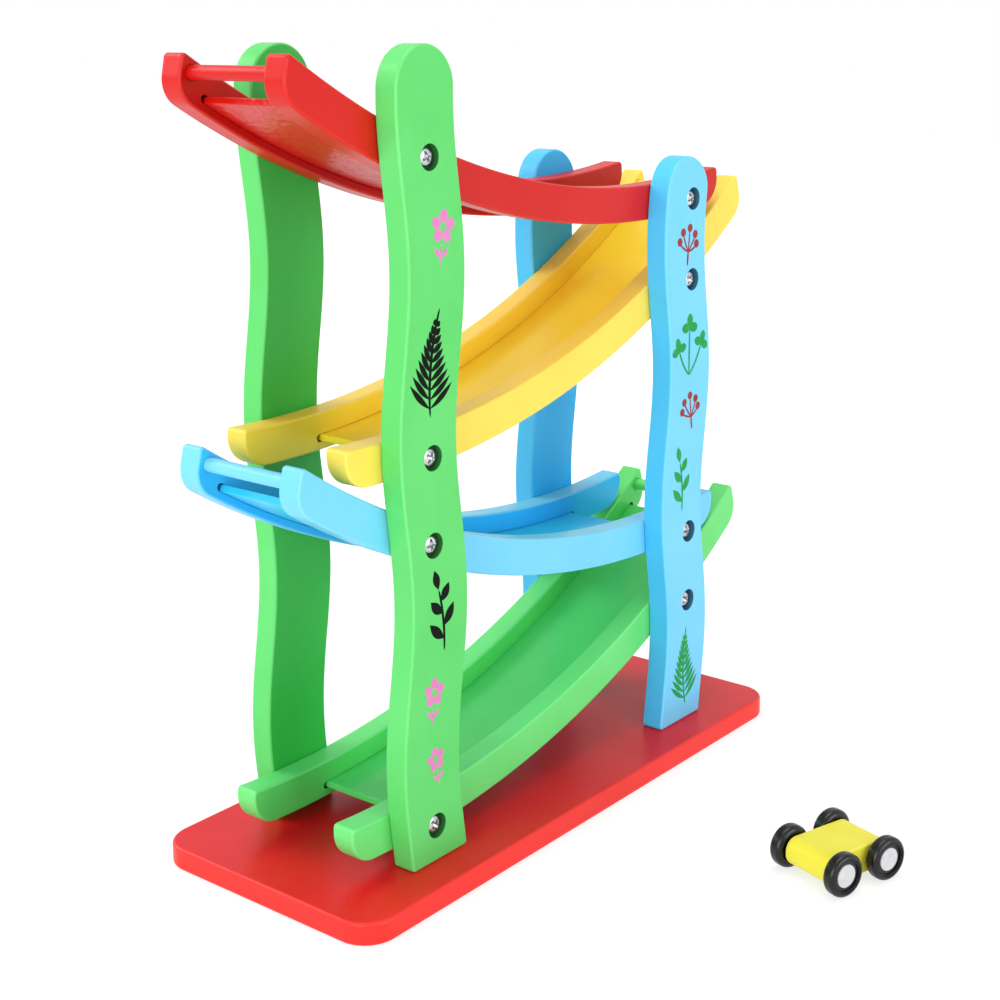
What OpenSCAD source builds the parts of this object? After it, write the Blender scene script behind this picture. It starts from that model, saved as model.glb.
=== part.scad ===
// Click clack track toy: four curved ramps cross in a zig-zag between two pairs of wavy posts,
// and a flat car rolls down them and turns over at every drop.
// Millimetres. X runs along the base, Y across it with the front at -Y, and Z is up.
// The origin is the middle of the base plate's underside.

/* [Base plate] */
// Length of the base plate
base_l = 245; // [225:1:300]
// Depth of the base plate
base_d = 100; // [90:1:140]
// Thickness of the base plate
base_t = 8; // [7:0.5:12]
// Corner radius of the plate, seen from above
base_corner_r = 12; // [4:0.5:20]
// Rounding of the plate's upper and lower edges
base_edge_r = 1.2; // [0.4:0.1:2]

/* [Rails] */
// Clear width between the two rails of a ramp
channel_w = 37; // [34:0.5:42]
// Thickness of a rail
rail_t = 9; // [8:0.5:12]
// Height of a rail, from its hollow top edge to its underside
rail_h = 13.4; // [13:0.1:18]
// Length of a ramp from tip to tip, along the chord of its top edge
chord_l = 240.5; // [225:0.5:260]
// Radius of a ramp's hollow top edge
sweep_r = 350.8; // [320:1:420]
// Rounding of the lower corner at a ramp's high tip, which is cut square to the chord
tip_r = 9.5; // [4:0.5:10.5]
// Rounding of the lower corner at a ramp's low end
toe_r = 10.5; // [4:0.5:10.5]
// Easing of the top corners at both ends
ease_r = 1.5; // [0.5:0.1:2]

/* [Floor boards] */
// Thickness of a ramp's curved floor board
floor_t = 2.5; // [2:0.1:3.2]
// Depth of the floor below the top edges of its rails
floor_drop = 7.8; // [7:0.1:8.4]
// How far the floor's edges reach into the grooves of the rails
tongue = 2.8; // [2:0.1:4]
// Play of the floor board in its groove, on every side
groove_gap = 0.1; // [0.05:0.05:0.2]
// Length of the groove past each end of the floor
groove_run = 0.5; // [0.2:0.1:3.5]
// Gap at the low end that the car drops through, measured along the floor
drop_gap = 35.5; // [34:0.5:48]
// Gap between the floor's high end and the tip, measured along the floor
tip_gap = 15.5; // [15:0.5:26]

/* [Tip dowels] */
// Diameter of the dowel across a ramp's high tip
dowel_d = 4.8; // [4.5:0.1:6]
// Depth of the dowel's middle below the top edges of the rails
dowel_drop = 4.2; // [4:0.1:5]
// Distance of the dowel's middle from the tip
dowel_in = 6.5; // [6:0.1:7.5]
// Depth of the dowel's hole in each rail
dowel_seat = 5; // [3:0.5:7]
// Play of the dowel in its holes, all round and at its ends
dowel_gap = 0.05; // [0.02:0.01:0.1]

/* [Red ramp, the highest, high at the left] */
// Place of the red chord's middle along the base
red_x = -5.5; // [-12:0.5:4]
// Height of the red chord's middle
red_z = 253; // [246:0.5:256]
// Tilt of the red chord
red_tilt = 12.5; // [10:0.25:15]

/* [Yellow ramp, high at the right] */
// Place of the yellow chord's middle along the base
yellow_x = 11.8; // [4:0.5:18]
// Height of the yellow chord's middle
yellow_z = 188.9; // [184:0.5:194]
// Tilt of the yellow chord
yellow_tilt = 16.5; // [14:0.25:18]

/* [Blue ramp, high at the left] */
// Place of the blue chord's middle along the base
blue_x = -5.9; // [-12:0.5:4]
// Height of the blue chord's middle
blue_z = 124; // [119:0.5:129]
// Tilt of the blue chord
blue_tilt = 14.35; // [12:0.25:16]

/* [Green ramp, the lowest, high at the right] */
// Place of the green chord's middle along the base
green_x = 10.4; // [4:0.5:18]
// Height of the green chord's middle
green_z = 60.8; // [59:0.5:66]
// Tilt of the green chord
green_tilt = 15.75; // [14:0.25:17]

/* [Posts] */
// Thickness of a post
post_t = 9; // [8:0.5:12]
// Width of a post
post_w = 27.5; // [24:0.5:32]
// Rounding of the corners of a post's foot
foot_r = 1.2; // [0.4:0.1:3]
// How far the tall posts' tops lean to the right of their feet; the short posts lean at the same angle
post_lean = 3; // [0:0.1:4]
// Height of the tall green posts above the table
tall_h = 280; // [266:1:300]
// Place of the tall posts along the base
tall_x = -73.2; // [-82:0.5:-64]
// Swing of the tall posts' wave to either side
tall_swing = 2.5; // [0:0.1:4]
// Height of one full wave of the tall posts
tall_wave = 110; // [90:1:140]
// Height at which the tall posts swing furthest to the right
tall_crest_h = 98; // [60:1:140]
// Height of the short blue posts above the table
short_h = 234; // [232:1:244]
// Place of the short posts along the base
short_x = 76.1; // [68:0.5:84]
// Swing of the short posts' wave to either side
short_swing = 2.4; // [0:0.1:4]
// Height of one full wave of the short posts
short_wave = 103; // [90:1:140]
// Height at which the short posts swing furthest to the right
short_crest_h = 150; // [110:1:190]

/* [Screws] */
// Diameter of a screw's pan head
head_d = 7; // [6:0.1:8]
// Height of a screw's pan head
head_h = 2; // [1.5:0.1:2.4]
// Diameter of a screw's shank
shank_d = 3; // [2.5:0.1:4]
// Length of the shank of the screws that hold the rails
rail_screw_l = 13; // [10:0.5:13.5]
// Length of the shank of the screws that hold the posts to the base
base_screw_l = 20; // [12:0.5:26]
// Length of the pointed end of a screw
point_l = 2.4; // [1:0.1:4]
// Diameter of the sunk hole round a screw's head
sink_d = 8.6; // [8.4:0.1:10]
// Depth of the sunk hole in a post
sink_depth = 3; // [2.6:0.1:4]
// Depth of the sunk hole under the base plate
base_sink = 3.2; // [2.6:0.1:4]
// Play round a screw's shank and past its point
screw_gap = 0.05; // [0.02:0.01:0.1]
// Width of an arm of the cross slot
slot_w = 0.9; // [0.6:0.1:1.2]
// Length of the cross slot
slot_l = 4.2; // [3:0.1:5]
// Depth of the cross slot
slot_depth = 1.1; // [0.6:0.1:1.3]
// Shift of the rail screws from the middle of a tall post
tall_screw_shift = -0.8; // [-4:0.1:4]
// Shift of the rail screws from the middle of a short post
short_screw_shift = 2.5; // [-4:0.1:4]
// Distance between the two screws under a post
base_screw_gap = 14; // [11:0.5:16]

/* [Car] */
// Place of the car on the table, along the base
car_x = 15; // [-60:1:60]
// Place of the car on the table, in front of the base
car_y = -138.5; // [-170:0.5:-130]
// Turn of the car on the table
car_turn = -16.5; // [-30:0.5:30]
// Width of the car over its wheels
car_w = 30; // [28:0.5:32]
// Distance between the two axles
wheel_base = 20; // [18:0.5:22]
// Length of the car's wooden body
car_body_l = 30; // [28:0.5:34]
// Thickness of the car's wooden body
car_body_t = 10; // [9.6:0.1:11]
// Rounding of the body's ends
car_end_r = 4.6; // [2:0.1:4.7]
// Gap between the body and a wheel
car_side_gap = 0.5; // [0.3:0.1:0.9]

/* [Wheels] */
// Diameter of a wheel over its tyre
wheel_d = 15; // [14:0.1:16]
// Width of a tyre
tyre_w = 5; // [4.6:0.1:5.6]
// Diameter of a tyre's hole
tyre_bore = 10.4; // [10:0.1:11]
// Rounding of a tyre's shoulders
shoulder_r = 1.4; // [0.6:0.1:1.6]
// Width of a wheel's rim
rim_w = 3.9; // [3.6:0.1:4.2]
// Inset of the rim from the tyre's inner side
rim_inset = 0.3; // [0.1:0.1:0.3]
// Diameter of the hub cap
cap_d = 8; // [7:0.1:8.4]
// Height of the hub cap
cap_h = 1.3; // [1.1:0.1:1.6]
// Depth of the hub cap's seat in the rim
cap_seat = 1; // [0.8:0.1:1]
// Diameter of an axle
axle_d = 2; // [1.6:0.1:2.6]
// Play of an axle in the car's body, all round
axle_gap = 0.08; // [0.04:0.01:0.1]
// Play between the pieces that are pressed together in a wheel
press_gap = 0.03; // [0.02:0.01:0.05]

/* [Hidden] */

// Facets of the small rounds, and of the ramps' wide arcs
$fn = 64;
arc_fn = 720;
// Steps that draw one side of a post's wave, its round top and a corner of its foot
wave_steps = 64;
top_steps = 32;
corner_steps = 6;
// How far a cut passes the surface that it opens
overrun = 1;
// Angle by which a corner's cut passes the end of a ramp
end_angle = 2;

// Sides of the track and of the car
front = -1;
back = 1;
left = 1;
right = -1;

// Colours of the finishes
red_paint = "#e23a30";
yellow_paint = "#f4d436";
blue_paint = "#6fcdf5";
green_paint = "#6cd673";
car_paint = "#efe54a";
black_rubber = "#242424";
black_plastic = "#1b1b1b";
grey_cap = "#cfcfcf";
steel = "#b9bcc0";

// The wide arcs of a ramp: its underside, its floor, its middle and the height of its centre
under_r = sweep_r + rail_h;
floor_r = sweep_r + floor_drop;
middle_r = sweep_r + rail_h / 2;
dowel_r = sweep_r + dowel_drop;
centre_h = sqrt(sweep_r * sweep_r - chord_l * chord_l / 4);
end_turn = asin(chord_l / 2 / sweep_r);

// Angles, from straight down, of the floor's two ends and of the dowel
floor_tip_turn = arc_turn(tip_gap, floor_r) - end_turn;
floor_toe_turn = end_turn - arc_turn(drop_gap, floor_r);
dowel_turn = arc_turn(dowel_in, sweep_r) - end_turn;
groove_h = floor_t + 2 * groove_gap;
groove_depth = tongue + groove_gap;

// A ramp: its middle, its height, its tilt and its turn, 0 for high at the left, 180 at the right
red_ramp = [red_x, red_z, red_tilt, 0];
yellow_ramp = [yellow_x, yellow_z, yellow_tilt, 180];
blue_ramp = [blue_x, blue_z, blue_tilt, 0];
green_ramp = [green_x, green_z, green_tilt, 180];
ramps = [red_ramp, yellow_ramp, blue_ramp, green_ramp];

// A post: its place, height, swing, wave, crest and the place of its rail screws before it leans
tall_post = [tall_x, tall_h, tall_swing, tall_wave, tall_crest_h, tall_x + tall_screw_shift];
short_post = [short_x, short_h, short_swing, short_wave, short_crest_h, short_x + short_screw_shift];
posts = [tall_post, short_post];

// Distances from the middle plane to the rails, the posts and the seats of their screws
rail_y = (channel_w + rail_t) / 2;
post_in_y = channel_w / 2 + rail_t;
post_y = post_in_y + post_t / 2;
seat_y = post_in_y + post_t - sink_depth;

// The wheels' sizes across the car
wheel_in_y = car_w / 2 - tyre_w;
rim_in_y = wheel_in_y + rim_inset;
rim_out_y = rim_in_y + rim_w;
cap_in_y = rim_out_y - cap_seat;
car_body_w = 2 * (wheel_in_y - car_side_gap);

// Angle that a length spans on an arc
function arc_turn(length, radius) = length / radius * 180 / PI;

// Point at a radius and at an angle from straight down, on the positive side to the right
function polar(radius, turn) = [radius * sin(turn), -radius * cos(turn)];

// Place of the middle of a ramp's arcs
function arc_x(ramp) = ramp[0] + centre_h * sin(ramp[2]) * cos(ramp[3]);
function arc_z(ramp) = ramp[1] + centre_h * cos(ramp[2]);

// Height of a ramp's middle line at a place along the base
function middle_z(ramp, x) = arc_z(ramp) - middle_r * cos(asin((x - arc_x(ramp)) / middle_r));

// Shift of a post to the right at a height, as it leans
function lean_x(z) = post_lean * (z - base_t) / (tall_h - base_t);

// Middle of a post at a height
function wave_x(post, z) = post[0] + lean_x(z) + post[2] * cos(360 * (z - post[4]) / post[3]);

// Place along the base of the screw that holds a ramp to a post
function screw_x(post, ramp) = post[5] + lean_x(middle_z(ramp, post[5]));

// Height at which a post's round top starts
function top_z(post) = post[1] - post_w / 2;

// Draw children, which lie in X and Z, as a board of a thickness at a distance from the middle plane
module board(thickness, y)
    translate([0, y, 0])
        rotate([90, 0, 0])
            linear_extrude(thickness, center = true)
                children();

// Put a ramp's piece, drawn about the middle of its chord, in its place on the track
module on_ramp(ramp)
    translate([ramp[0], 0, ramp[1]])
        rotate([0, 0, ramp[3]])
            rotate([0, ramp[2], 0])
                children();

// Put a piece, drawn pointing along Y, at each rail screw of a post
module at_rail_screws(post)
    for (ramp = ramps)
        translate([screw_x(post, ramp), 0, middle_z(ramp, screw_x(post, ramp))])
            children();

// Put a piece at each screw under a post
module at_base_screws(post, side)
    for (step = [-1, 1])
        translate([wave_x(post, base_t) + step * base_screw_gap / 2, side * post_y, 0])
            children();

// Ring between two radii and two angles, about the middle of a ramp's arcs
module arc_band(r_in, r_out, from_turn, to_turn)
    translate([0, centre_h])
        intersection() {
            difference() {
                circle(r_out, $fn = arc_fn);
                circle(r_in, $fn = arc_fn);
            }
            polygon([
                [0, 0],
                polar(2 * r_out, from_turn),
                polar(2 * r_out, (from_turn + to_turn) / 2),
                polar(2 * r_out, to_turn)
            ]);
        }

// What a round corner takes off a ramp's right end: its middle lies on the radius at_r
module corner_cut(at_r, past_r, corner_r) {
    turn = end_turn - asin(corner_r / at_r);
    foot_r = at_r * cos(end_turn - turn);
    translate([0, centre_h])
        difference() {
            polygon([
                polar(at_r, turn),
                polar(past_r, turn),
                polar(past_r, end_turn + end_angle),
                polar(foot_r, end_turn + end_angle),
                polar(foot_r, end_turn)
            ]);
            translate(polar(at_r, turn))
                circle(corner_r);
        }
}

// What a round corner takes off a right end that is cut square to the chord
module square_corner_cut(at_r, past_r, corner_r) {
    turn = asin((chord_l / 2 - corner_r) / at_r);
    middle = polar(at_r, turn);
    past = polar(past_r, turn);
    far_x = chord_l / 2 + rail_h;
    translate([0, centre_h])
        difference() {
            polygon([middle, past, [far_x, past[1]], [far_x, middle[1]]]);
            translate(middle)
                circle(corner_r);
        }
}

// Side view of a rail, high tip at the left
module rail_outline()
    difference() {
        arc_band(sweep_r, under_r, -end_turn, end_turn);
        corner_cut(under_r - toe_r, under_r + overrun, toe_r);
        corner_cut(sweep_r + ease_r, sweep_r - overrun, ease_r);
        mirror([1, 0]) {
            translate([chord_l / 2, -2 * rail_h])
                square([rail_h, 3 * rail_h]);
            square_corner_cut(under_r - tip_r, under_r + overrun, tip_r);
            square_corner_cut(sweep_r + ease_r, sweep_r - ease_r, ease_r);
        }
    }

// Side view of the groove that holds the floor, with the round ends that a cutter leaves
module groove_outline() {
    run_turn = arc_turn(groove_run, floor_r);
    arc_band(floor_r - groove_gap, floor_r - groove_gap + groove_h,
        floor_tip_turn - run_turn, floor_toe_turn + run_turn);
    for (turn = [floor_tip_turn - run_turn, floor_toe_turn + run_turn])
        translate([0, centre_h])
            translate(polar(floor_r + floor_t / 2, turn))
                circle(d = groove_h);
}

// Pan-head screw that points up, with its seat at the origin
module screw(length) {
    difference() {
        translate([0, 0, -head_h])
            union() {
                translate([0, 0, head_h / 2])
                    cylinder(d = head_d, h = head_h / 2);
                cylinder(d1 = head_d - head_h / 2, d2 = head_d, h = head_h / 2);
            }
        for (turn = [0, 90])
            rotate([0, 0, turn])
                translate([-slot_l / 2, -slot_w / 2, -head_h - overrun])
                    cube([slot_l, slot_w, slot_depth + overrun]);
    }
    cylinder(d = shank_d, h = length - point_l);
    translate([0, 0, length - point_l])
        cylinder(d1 = shank_d, d2 = shank_d / 3, h = point_l);
}

// Space that a screw needs, with a sunk hole that opens below its seat
module screw_hole(length, sink) {
    translate([0, 0, -sink - overrun])
        cylinder(d = sink_d, h = sink + overrun);
    translate([0, 0, -overrun])
        cylinder(d = shank_d + 2 * screw_gap, h = length + screw_gap + overrun);
}

// Turn a screw that points up to point at the middle plane from the front or the back
module from_side(side)
    translate([0, side * seat_y, 0])
        rotate([side * 90, 0, 0])
            children();

// Bar of the base plate's rounded edge, along X, with its outer side at y = base_corner_r
module edge_profile() {
    square([base_corner_r - base_edge_r, base_t]);
    translate([0, base_edge_r])
        square([base_corner_r, base_t - 2 * base_edge_r]);
    for (z = [base_edge_r, base_t - base_edge_r])
        translate([base_corner_r - base_edge_r, z])
            circle(base_edge_r);
}

module edge_bar(length, distance)
    translate([0, distance - base_corner_r, 0])
        rotate([90, 0, 90])
            linear_extrude(length, center = true)
                edge_profile();

// Plate with round corners and softened edges
module plate() {
    core_l = base_l - 2 * base_corner_r;
    core_d = base_d - 2 * base_corner_r;
    translate([-core_l / 2, -core_d / 2, 0])
        cube([core_l, core_d, base_t]);
    for (turn = [0, 180])
        rotate([0, 0, turn]) {
            edge_bar(core_l, base_d / 2);
            translate([core_l / 2, core_d / 2, 0])
                rotate_extrude(angle = 90)
                    edge_profile();
            rotate([0, 0, 90])
                edge_bar(core_d, base_l / 2);
            translate([-core_l / 2, core_d / 2, 0])
                rotate([0, 0, 90])
                    rotate_extrude(angle = 90)
                        edge_profile();
        }
}

// Outline of a post: two waves at half its width from its middle, a round top and eased foot corners
module post_outline(post) {
    start = base_t + foot_r;
    heights = [for (i = [0:wave_steps]) start + (top_z(post) - start) * i / wave_steps];
    top_x = wave_x(post, top_z(post));
    foot_x = wave_x(post, start);
    left_foot = [for (i = [corner_steps:-1:1]) [
        foot_x - post_w / 2 + foot_r - foot_r * cos(90 * i / corner_steps),
        start - foot_r * sin(90 * i / corner_steps)
    ]];
    left_side = [for (z = heights) [wave_x(post, z) - post_w / 2, z]];
    round_top = [for (i = [1:top_steps - 1]) [
        top_x - post_w / 2 * cos(180 * i / top_steps),
        top_z(post) + post_w / 2 * sin(180 * i / top_steps)
    ]];
    right_side = [for (i = [wave_steps:-1:0]) [wave_x(post, heights[i]) + post_w / 2, heights[i]]];
    right_foot = [for (i = [1:corner_steps]) [
        foot_x + post_w / 2 - foot_r + foot_r * cos(90 * i / corner_steps),
        start - foot_r * sin(90 * i / corner_steps)
    ]];
    polygon(concat(left_foot, left_side, round_top, right_side, right_foot));
}

// Post with its sunk holes for the rail screws and its holes for the screws under it
module post(shape, side)
    difference() {
        board(post_t, side * post_y)
            post_outline(shape);
        at_rail_screws(shape)
            from_side(side)
                screw_hole(rail_screw_l, sink_depth);
        at_base_screws(shape, side)
            translate([0, 0, base_sink])
                screw_hole(base_screw_l, base_sink);
    }

// Rail with its groove, its dowel hole and its screw holes
module rail(ramp, side)
    difference() {
        on_ramp(ramp)
            difference() {
                board(rail_t, side * rail_y * cos(ramp[3]))
                    rail_outline();
                board(groove_depth + overrun, side * cos(ramp[3]) * (channel_w + groove_depth - overrun) / 2)
                    groove_outline();
                board(dowel_seat + overrun, side * cos(ramp[3]) * (channel_w + dowel_seat - overrun) / 2)
                    translate([0, centre_h])
                        translate(polar(dowel_r, dowel_turn))
                            circle(d = dowel_d + 2 * dowel_gap);
            }
        for (shape = posts)
            translate([screw_x(shape, ramp), 0, middle_z(ramp, screw_x(shape, ramp))])
                from_side(side)
                    screw_hole(rail_screw_l, sink_depth);
    }

// Curved floor board between the grooves of two rails
module floor_board(ramp)
    on_ramp(ramp)
        board(channel_w + 2 * tongue, 0)
            arc_band(floor_r, floor_r + floor_t, floor_tip_turn, floor_toe_turn);

// Dowel across the high tip of a ramp
module dowel(ramp)
    on_ramp(ramp)
        board(channel_w + 2 * (dowel_seat - dowel_gap), 0)
            translate([0, centre_h])
                translate(polar(dowel_r, dowel_turn))
                    circle(d = dowel_d);

// The four rail screws of a post
module rail_screws(shape, side)
    at_rail_screws(shape)
        from_side(side)
            screw(rail_screw_l);

// Put a piece of the car, drawn about its middle and heading along X, in its place on the table
module on_car()
    translate([car_x, car_y, wheel_d / 2])
        rotate([0, 0, car_turn])
            children();

// Put a piece, drawn about its axis along Z with its outer side up, at a wheel of the car
module on_wheel(end, side)
    on_car()
        translate([end * wheel_base / 2, 0, 0])
            rotate([-side * 90, 0, 0])
                children();

// Flat wooden body with round ends and two bores for the axles
module flat_body()
    difference() {
        board(car_body_w, 0) {
            square([car_body_l - 2 * car_end_r, car_body_t], center = true);
            square([car_body_l, car_body_t - 2 * car_end_r], center = true);
            for (x = [-1, 1], z = [-1, 1])
                translate([x * (car_body_l / 2 - car_end_r), z * (car_body_t / 2 - car_end_r)])
                    circle(car_end_r);
        }
        for (end = [-1, 1])
            translate([end * wheel_base / 2, 0, 0])
                rotate([90, 0, 0])
                    cylinder(d = axle_d + 2 * axle_gap, h = car_body_w + 2 * overrun, center = true);
    }

// Axle that ends in its two wheels
module axle(end)
    on_wheel(end, left)
        cylinder(d = axle_d, h = 2 * (cap_in_y - press_gap), center = true);

// Rim with a bore for the axle and a round seat for the cap
module rim(end, side)
    on_wheel(end, side)
        difference() {
            translate([0, 0, rim_in_y])
                cylinder(d = tyre_bore - 2 * press_gap, h = rim_w);
            translate([0, 0, rim_in_y - overrun])
                cylinder(d = axle_d + 2 * press_gap, h = rim_w + 2 * overrun);
            translate([0, 0, cap_in_y])
                cylinder(d = cap_d + 2 * press_gap, h = cap_seat + overrun);
        }

// Tyre with round shoulders
module tyre(end, side)
    on_wheel(end, side)
        translate([0, 0, wheel_in_y])
            rotate_extrude()
                intersection() {
                    translate([tyre_bore / 2, 0])
                        square([(wheel_d - tyre_bore) / 2, tyre_w]);
                    union() {
                        square([wheel_d / 2 - shoulder_r, tyre_w]);
                        translate([0, shoulder_r])
                            square([wheel_d / 2, tyre_w - 2 * shoulder_r]);
                        for (y = [shoulder_r, tyre_w - shoulder_r])
                            translate([wheel_d / 2 - shoulder_r, y])
                                circle(shoulder_r);
                    }
                }

// Flat cap over the end of an axle
module cap(end, side)
    on_wheel(end, side)
        translate([0, 0, cap_in_y])
            cylinder(d = cap_d, h = cap_h);

// Board that everything stands on, with sunk holes for the screws of the posts
module base_plate()
    color(red_paint)
        difference() {
            plate();
            for (shape = posts, side = [front, back])
                at_base_screws(shape, side)
                    translate([0, 0, base_sink])
                        screw_hole(base_screw_l, base_sink);
        }

module tall_post_front() color(green_paint) post(tall_post, front);
module tall_post_back() color(green_paint) post(tall_post, back);
module short_post_front() color(blue_paint) post(short_post, front);
module short_post_back() color(blue_paint) post(short_post, back);

module red_rail_front() color(red_paint) rail(red_ramp, front);
module red_rail_back() color(red_paint) rail(red_ramp, back);
module red_floor() color(red_paint) floor_board(red_ramp);
module red_dowel() color(red_paint) dowel(red_ramp);

module yellow_rail_front() color(yellow_paint) rail(yellow_ramp, front);
module yellow_rail_back() color(yellow_paint) rail(yellow_ramp, back);
module yellow_floor() color(yellow_paint) floor_board(yellow_ramp);
module yellow_dowel() color(yellow_paint) dowel(yellow_ramp);

module blue_rail_front() color(blue_paint) rail(blue_ramp, front);
module blue_rail_back() color(blue_paint) rail(blue_ramp, back);
module blue_floor() color(blue_paint) floor_board(blue_ramp);
module blue_dowel() color(blue_paint) dowel(blue_ramp);

module green_rail_front() color(green_paint) rail(green_ramp, front);
module green_rail_back() color(green_paint) rail(green_ramp, back);
module green_floor() color(green_paint) floor_board(green_ramp);
module green_dowel() color(green_paint) dowel(green_ramp);

module tall_front_screws() color(steel) rail_screws(tall_post, front);
module tall_back_screws() color(steel) rail_screws(tall_post, back);
module short_front_screws() color(steel) rail_screws(short_post, front);
module short_back_screws() color(steel) rail_screws(short_post, back);

// The screws that hold the four posts from under the base plate
module base_screws()
    color(steel)
        for (shape = posts, side = [front, back])
            at_base_screws(shape, side)
                translate([0, 0, base_sink])
                    screw(base_screw_l);

module car_body() color(car_paint) on_car() flat_body();
module front_axle() color(steel) axle(1);
module rear_axle() color(steel) axle(-1);

module front_left_rim() color(black_plastic) rim(1, left);
module front_right_rim() color(black_plastic) rim(1, right);
module rear_left_rim() color(black_plastic) rim(-1, left);
module rear_right_rim() color(black_plastic) rim(-1, right);

module front_left_tyre() color(black_rubber) tyre(1, left);
module front_right_tyre() color(black_rubber) tyre(1, right);
module rear_left_tyre() color(black_rubber) tyre(-1, left);
module rear_right_tyre() color(black_rubber) tyre(-1, right);

module front_left_cap() color(grey_cap) cap(1, left);
module front_right_cap() color(grey_cap) cap(1, right);
module rear_left_cap() color(grey_cap) cap(-1, left);
module rear_right_cap() color(grey_cap) cap(-1, right);

base_plate();
tall_post_front();
tall_post_back();
short_post_front();
short_post_back();
red_rail_front();
red_rail_back();
red_floor();
red_dowel();
yellow_rail_front();
yellow_rail_back();
yellow_floor();
yellow_dowel();
blue_rail_front();
blue_rail_back();
blue_floor();
blue_dowel();
green_rail_front();
green_rail_back();
green_floor();
green_dowel();
tall_front_screws();
tall_back_screws();
short_front_screws();
short_back_screws();
base_screws();
car_body();
front_axle();
rear_axle();
front_left_rim();
front_right_rim();
rear_left_rim();
rear_right_rim();
front_left_tyre();
front_right_tyre();
rear_left_tyre();
rear_right_tyre();
front_left_cap();
front_right_cap();
rear_left_cap();
rear_right_cap();
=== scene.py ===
"""Dresses the click clack track toy: lacquered boards, steel screws, printed posts and the flip car.

Sizes are in millimetres until a mesh is made. X runs along the base, Y across it with the front at -Y, and Z
is up.
"""

import logging
import math
from collections.abc import Sequence
from dataclasses import dataclass, field, replace
from enum import Enum
from functools import cache

import bpy
import numpy as np
from mathutils import Matrix, Vector
from mathutils.geometry import tessellate_polygon


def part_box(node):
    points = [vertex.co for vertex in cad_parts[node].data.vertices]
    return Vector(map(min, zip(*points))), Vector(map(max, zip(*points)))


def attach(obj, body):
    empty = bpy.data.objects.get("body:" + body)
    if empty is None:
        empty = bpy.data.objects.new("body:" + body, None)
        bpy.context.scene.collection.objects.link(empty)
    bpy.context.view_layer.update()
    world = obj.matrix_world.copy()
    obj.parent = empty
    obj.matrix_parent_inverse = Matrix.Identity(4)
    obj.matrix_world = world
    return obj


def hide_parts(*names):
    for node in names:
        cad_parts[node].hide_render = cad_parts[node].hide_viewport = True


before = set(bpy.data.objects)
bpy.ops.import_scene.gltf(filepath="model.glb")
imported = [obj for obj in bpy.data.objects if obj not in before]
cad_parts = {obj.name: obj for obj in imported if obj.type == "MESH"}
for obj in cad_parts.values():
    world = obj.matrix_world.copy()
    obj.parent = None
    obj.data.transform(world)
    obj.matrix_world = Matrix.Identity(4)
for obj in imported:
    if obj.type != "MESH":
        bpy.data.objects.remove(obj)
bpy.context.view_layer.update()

LOG = logging.getLogger("click_clack_track")
MM = 0.001
WELD = 1e-5
TINY = 1e-9
ROUND_STEPS = 96
HOLE_STEPS = 48
BORE_STEPS = 32
WIDEST_BORE = 4.0
# The stretch of 0 to 1 that a noise mostly takes, and the narrower one that makes crisp lines of it
NOISE = {"From Min": 0.3, "From Max": 0.7}
CRISP_NOISE = {"From Min": 0.35, "From Max": 0.65}
# edge_wear marks wear; drilled, inner_side and cut_rim mark where the finish paints shade and light
MARKS = ("edge_wear", "drilled", "inner_side", "cut_rim")
Array = np.ndarray
Colour = tuple[float, float, float, float]
Triple = tuple[float, float, float]
Marks = dict[str, Array | float]


def linear(code: str) -> Colour:
    """Turns an sRGB hex colour into linear light: ((c + 0.055) / 1.055) ** 2.4, or c / 12.92 in the dark.

    Args:
        code: six hex digits after a hash.

    Returns:
        Red, green, blue and an opaque alpha.
    """
    shares = [int(code[i:i + 2], 16) / 255 for i in (1, 3, 5)]
    red, green, blue = [((c + 0.055) / 1.055) ** 2.4 if c > 0.04045 else c / 12.92 for c in shares]
    return red, green, blue, 1.0


def down_turned(turn: Array | float) -> Array:
    """Unit vectors (sin, -cos) at angles in degrees from straight down, positive to the right."""
    return np.stack([np.sin(np.radians(turn)), -np.cos(np.radians(turn))], -1)


def ring(steps: int) -> Array:
    """Unit vectors (cos t, sin t) at equal angles once round."""
    turns = np.arange(steps) * 2 * np.pi / steps
    return np.stack([np.cos(turns), np.sin(turns)], -1)


def right_of(ways: Array) -> Array:
    """Vectors (x, y) turned a quarter to the right: (y, -x)."""
    return np.stack([ways[..., 1], -ways[..., 0]], -1)


def unit(vectors: Array, spare: Array | float = 0.0) -> Array:
    """Vectors divided by their length, with a spare one where they have none."""
    size = np.linalg.norm(vectors, axis=-1, keepdims=True)
    return np.where(size > TINY, vectors / np.maximum(size, TINY), spare)


@dataclass(frozen=True)
class Outline:
    """Line on the face of a board, with the directions that point out of the wood."""

    points: Array
    normals: Array

    def moved(self, turn: Array, shift: Array) -> "Outline":
        """The outline turned by a 2 x 2 matrix and then shifted."""
        return Outline(self.points @ turn.T + shift, self.normals @ turn.T)

    def backwards(self) -> "Outline":
        """The outline from its end to its start."""
        return Outline(self.points[::-1], self.normals[::-1])

    def inset(self, depth: float) -> Array:
        """The points moved into the wood along their normals."""
        return self.points - self.normals * depth


def arc(centre: Sequence[float], radius: float, start: float, end: float, steps: int,
        hollow: bool = False) -> Outline:
    """Round stretch: the centre plus the radius times the directions between two angles from straight down.

    Args:
        centre: middle of the arc.
        radius: its radius.
        start: angle of its first point, in degrees.
        end: angle of its last point.
        steps: number of chords.
        hollow: whether the wood lies outside the arc, as round a hole.

    Returns:
        The arc with its normals.
    """
    ways = down_turned(np.linspace(start, end, steps + 1))
    return Outline(np.asarray(centre) + radius * ways, -ways if hollow else ways)


def joined(*parts: Outline) -> Outline:
    """One outline from stretches in order; a straight line joins each end to the next start."""
    return Outline(np.concatenate([p.points for p in parts]), np.concatenate([p.normals for p in parts]))


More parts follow.
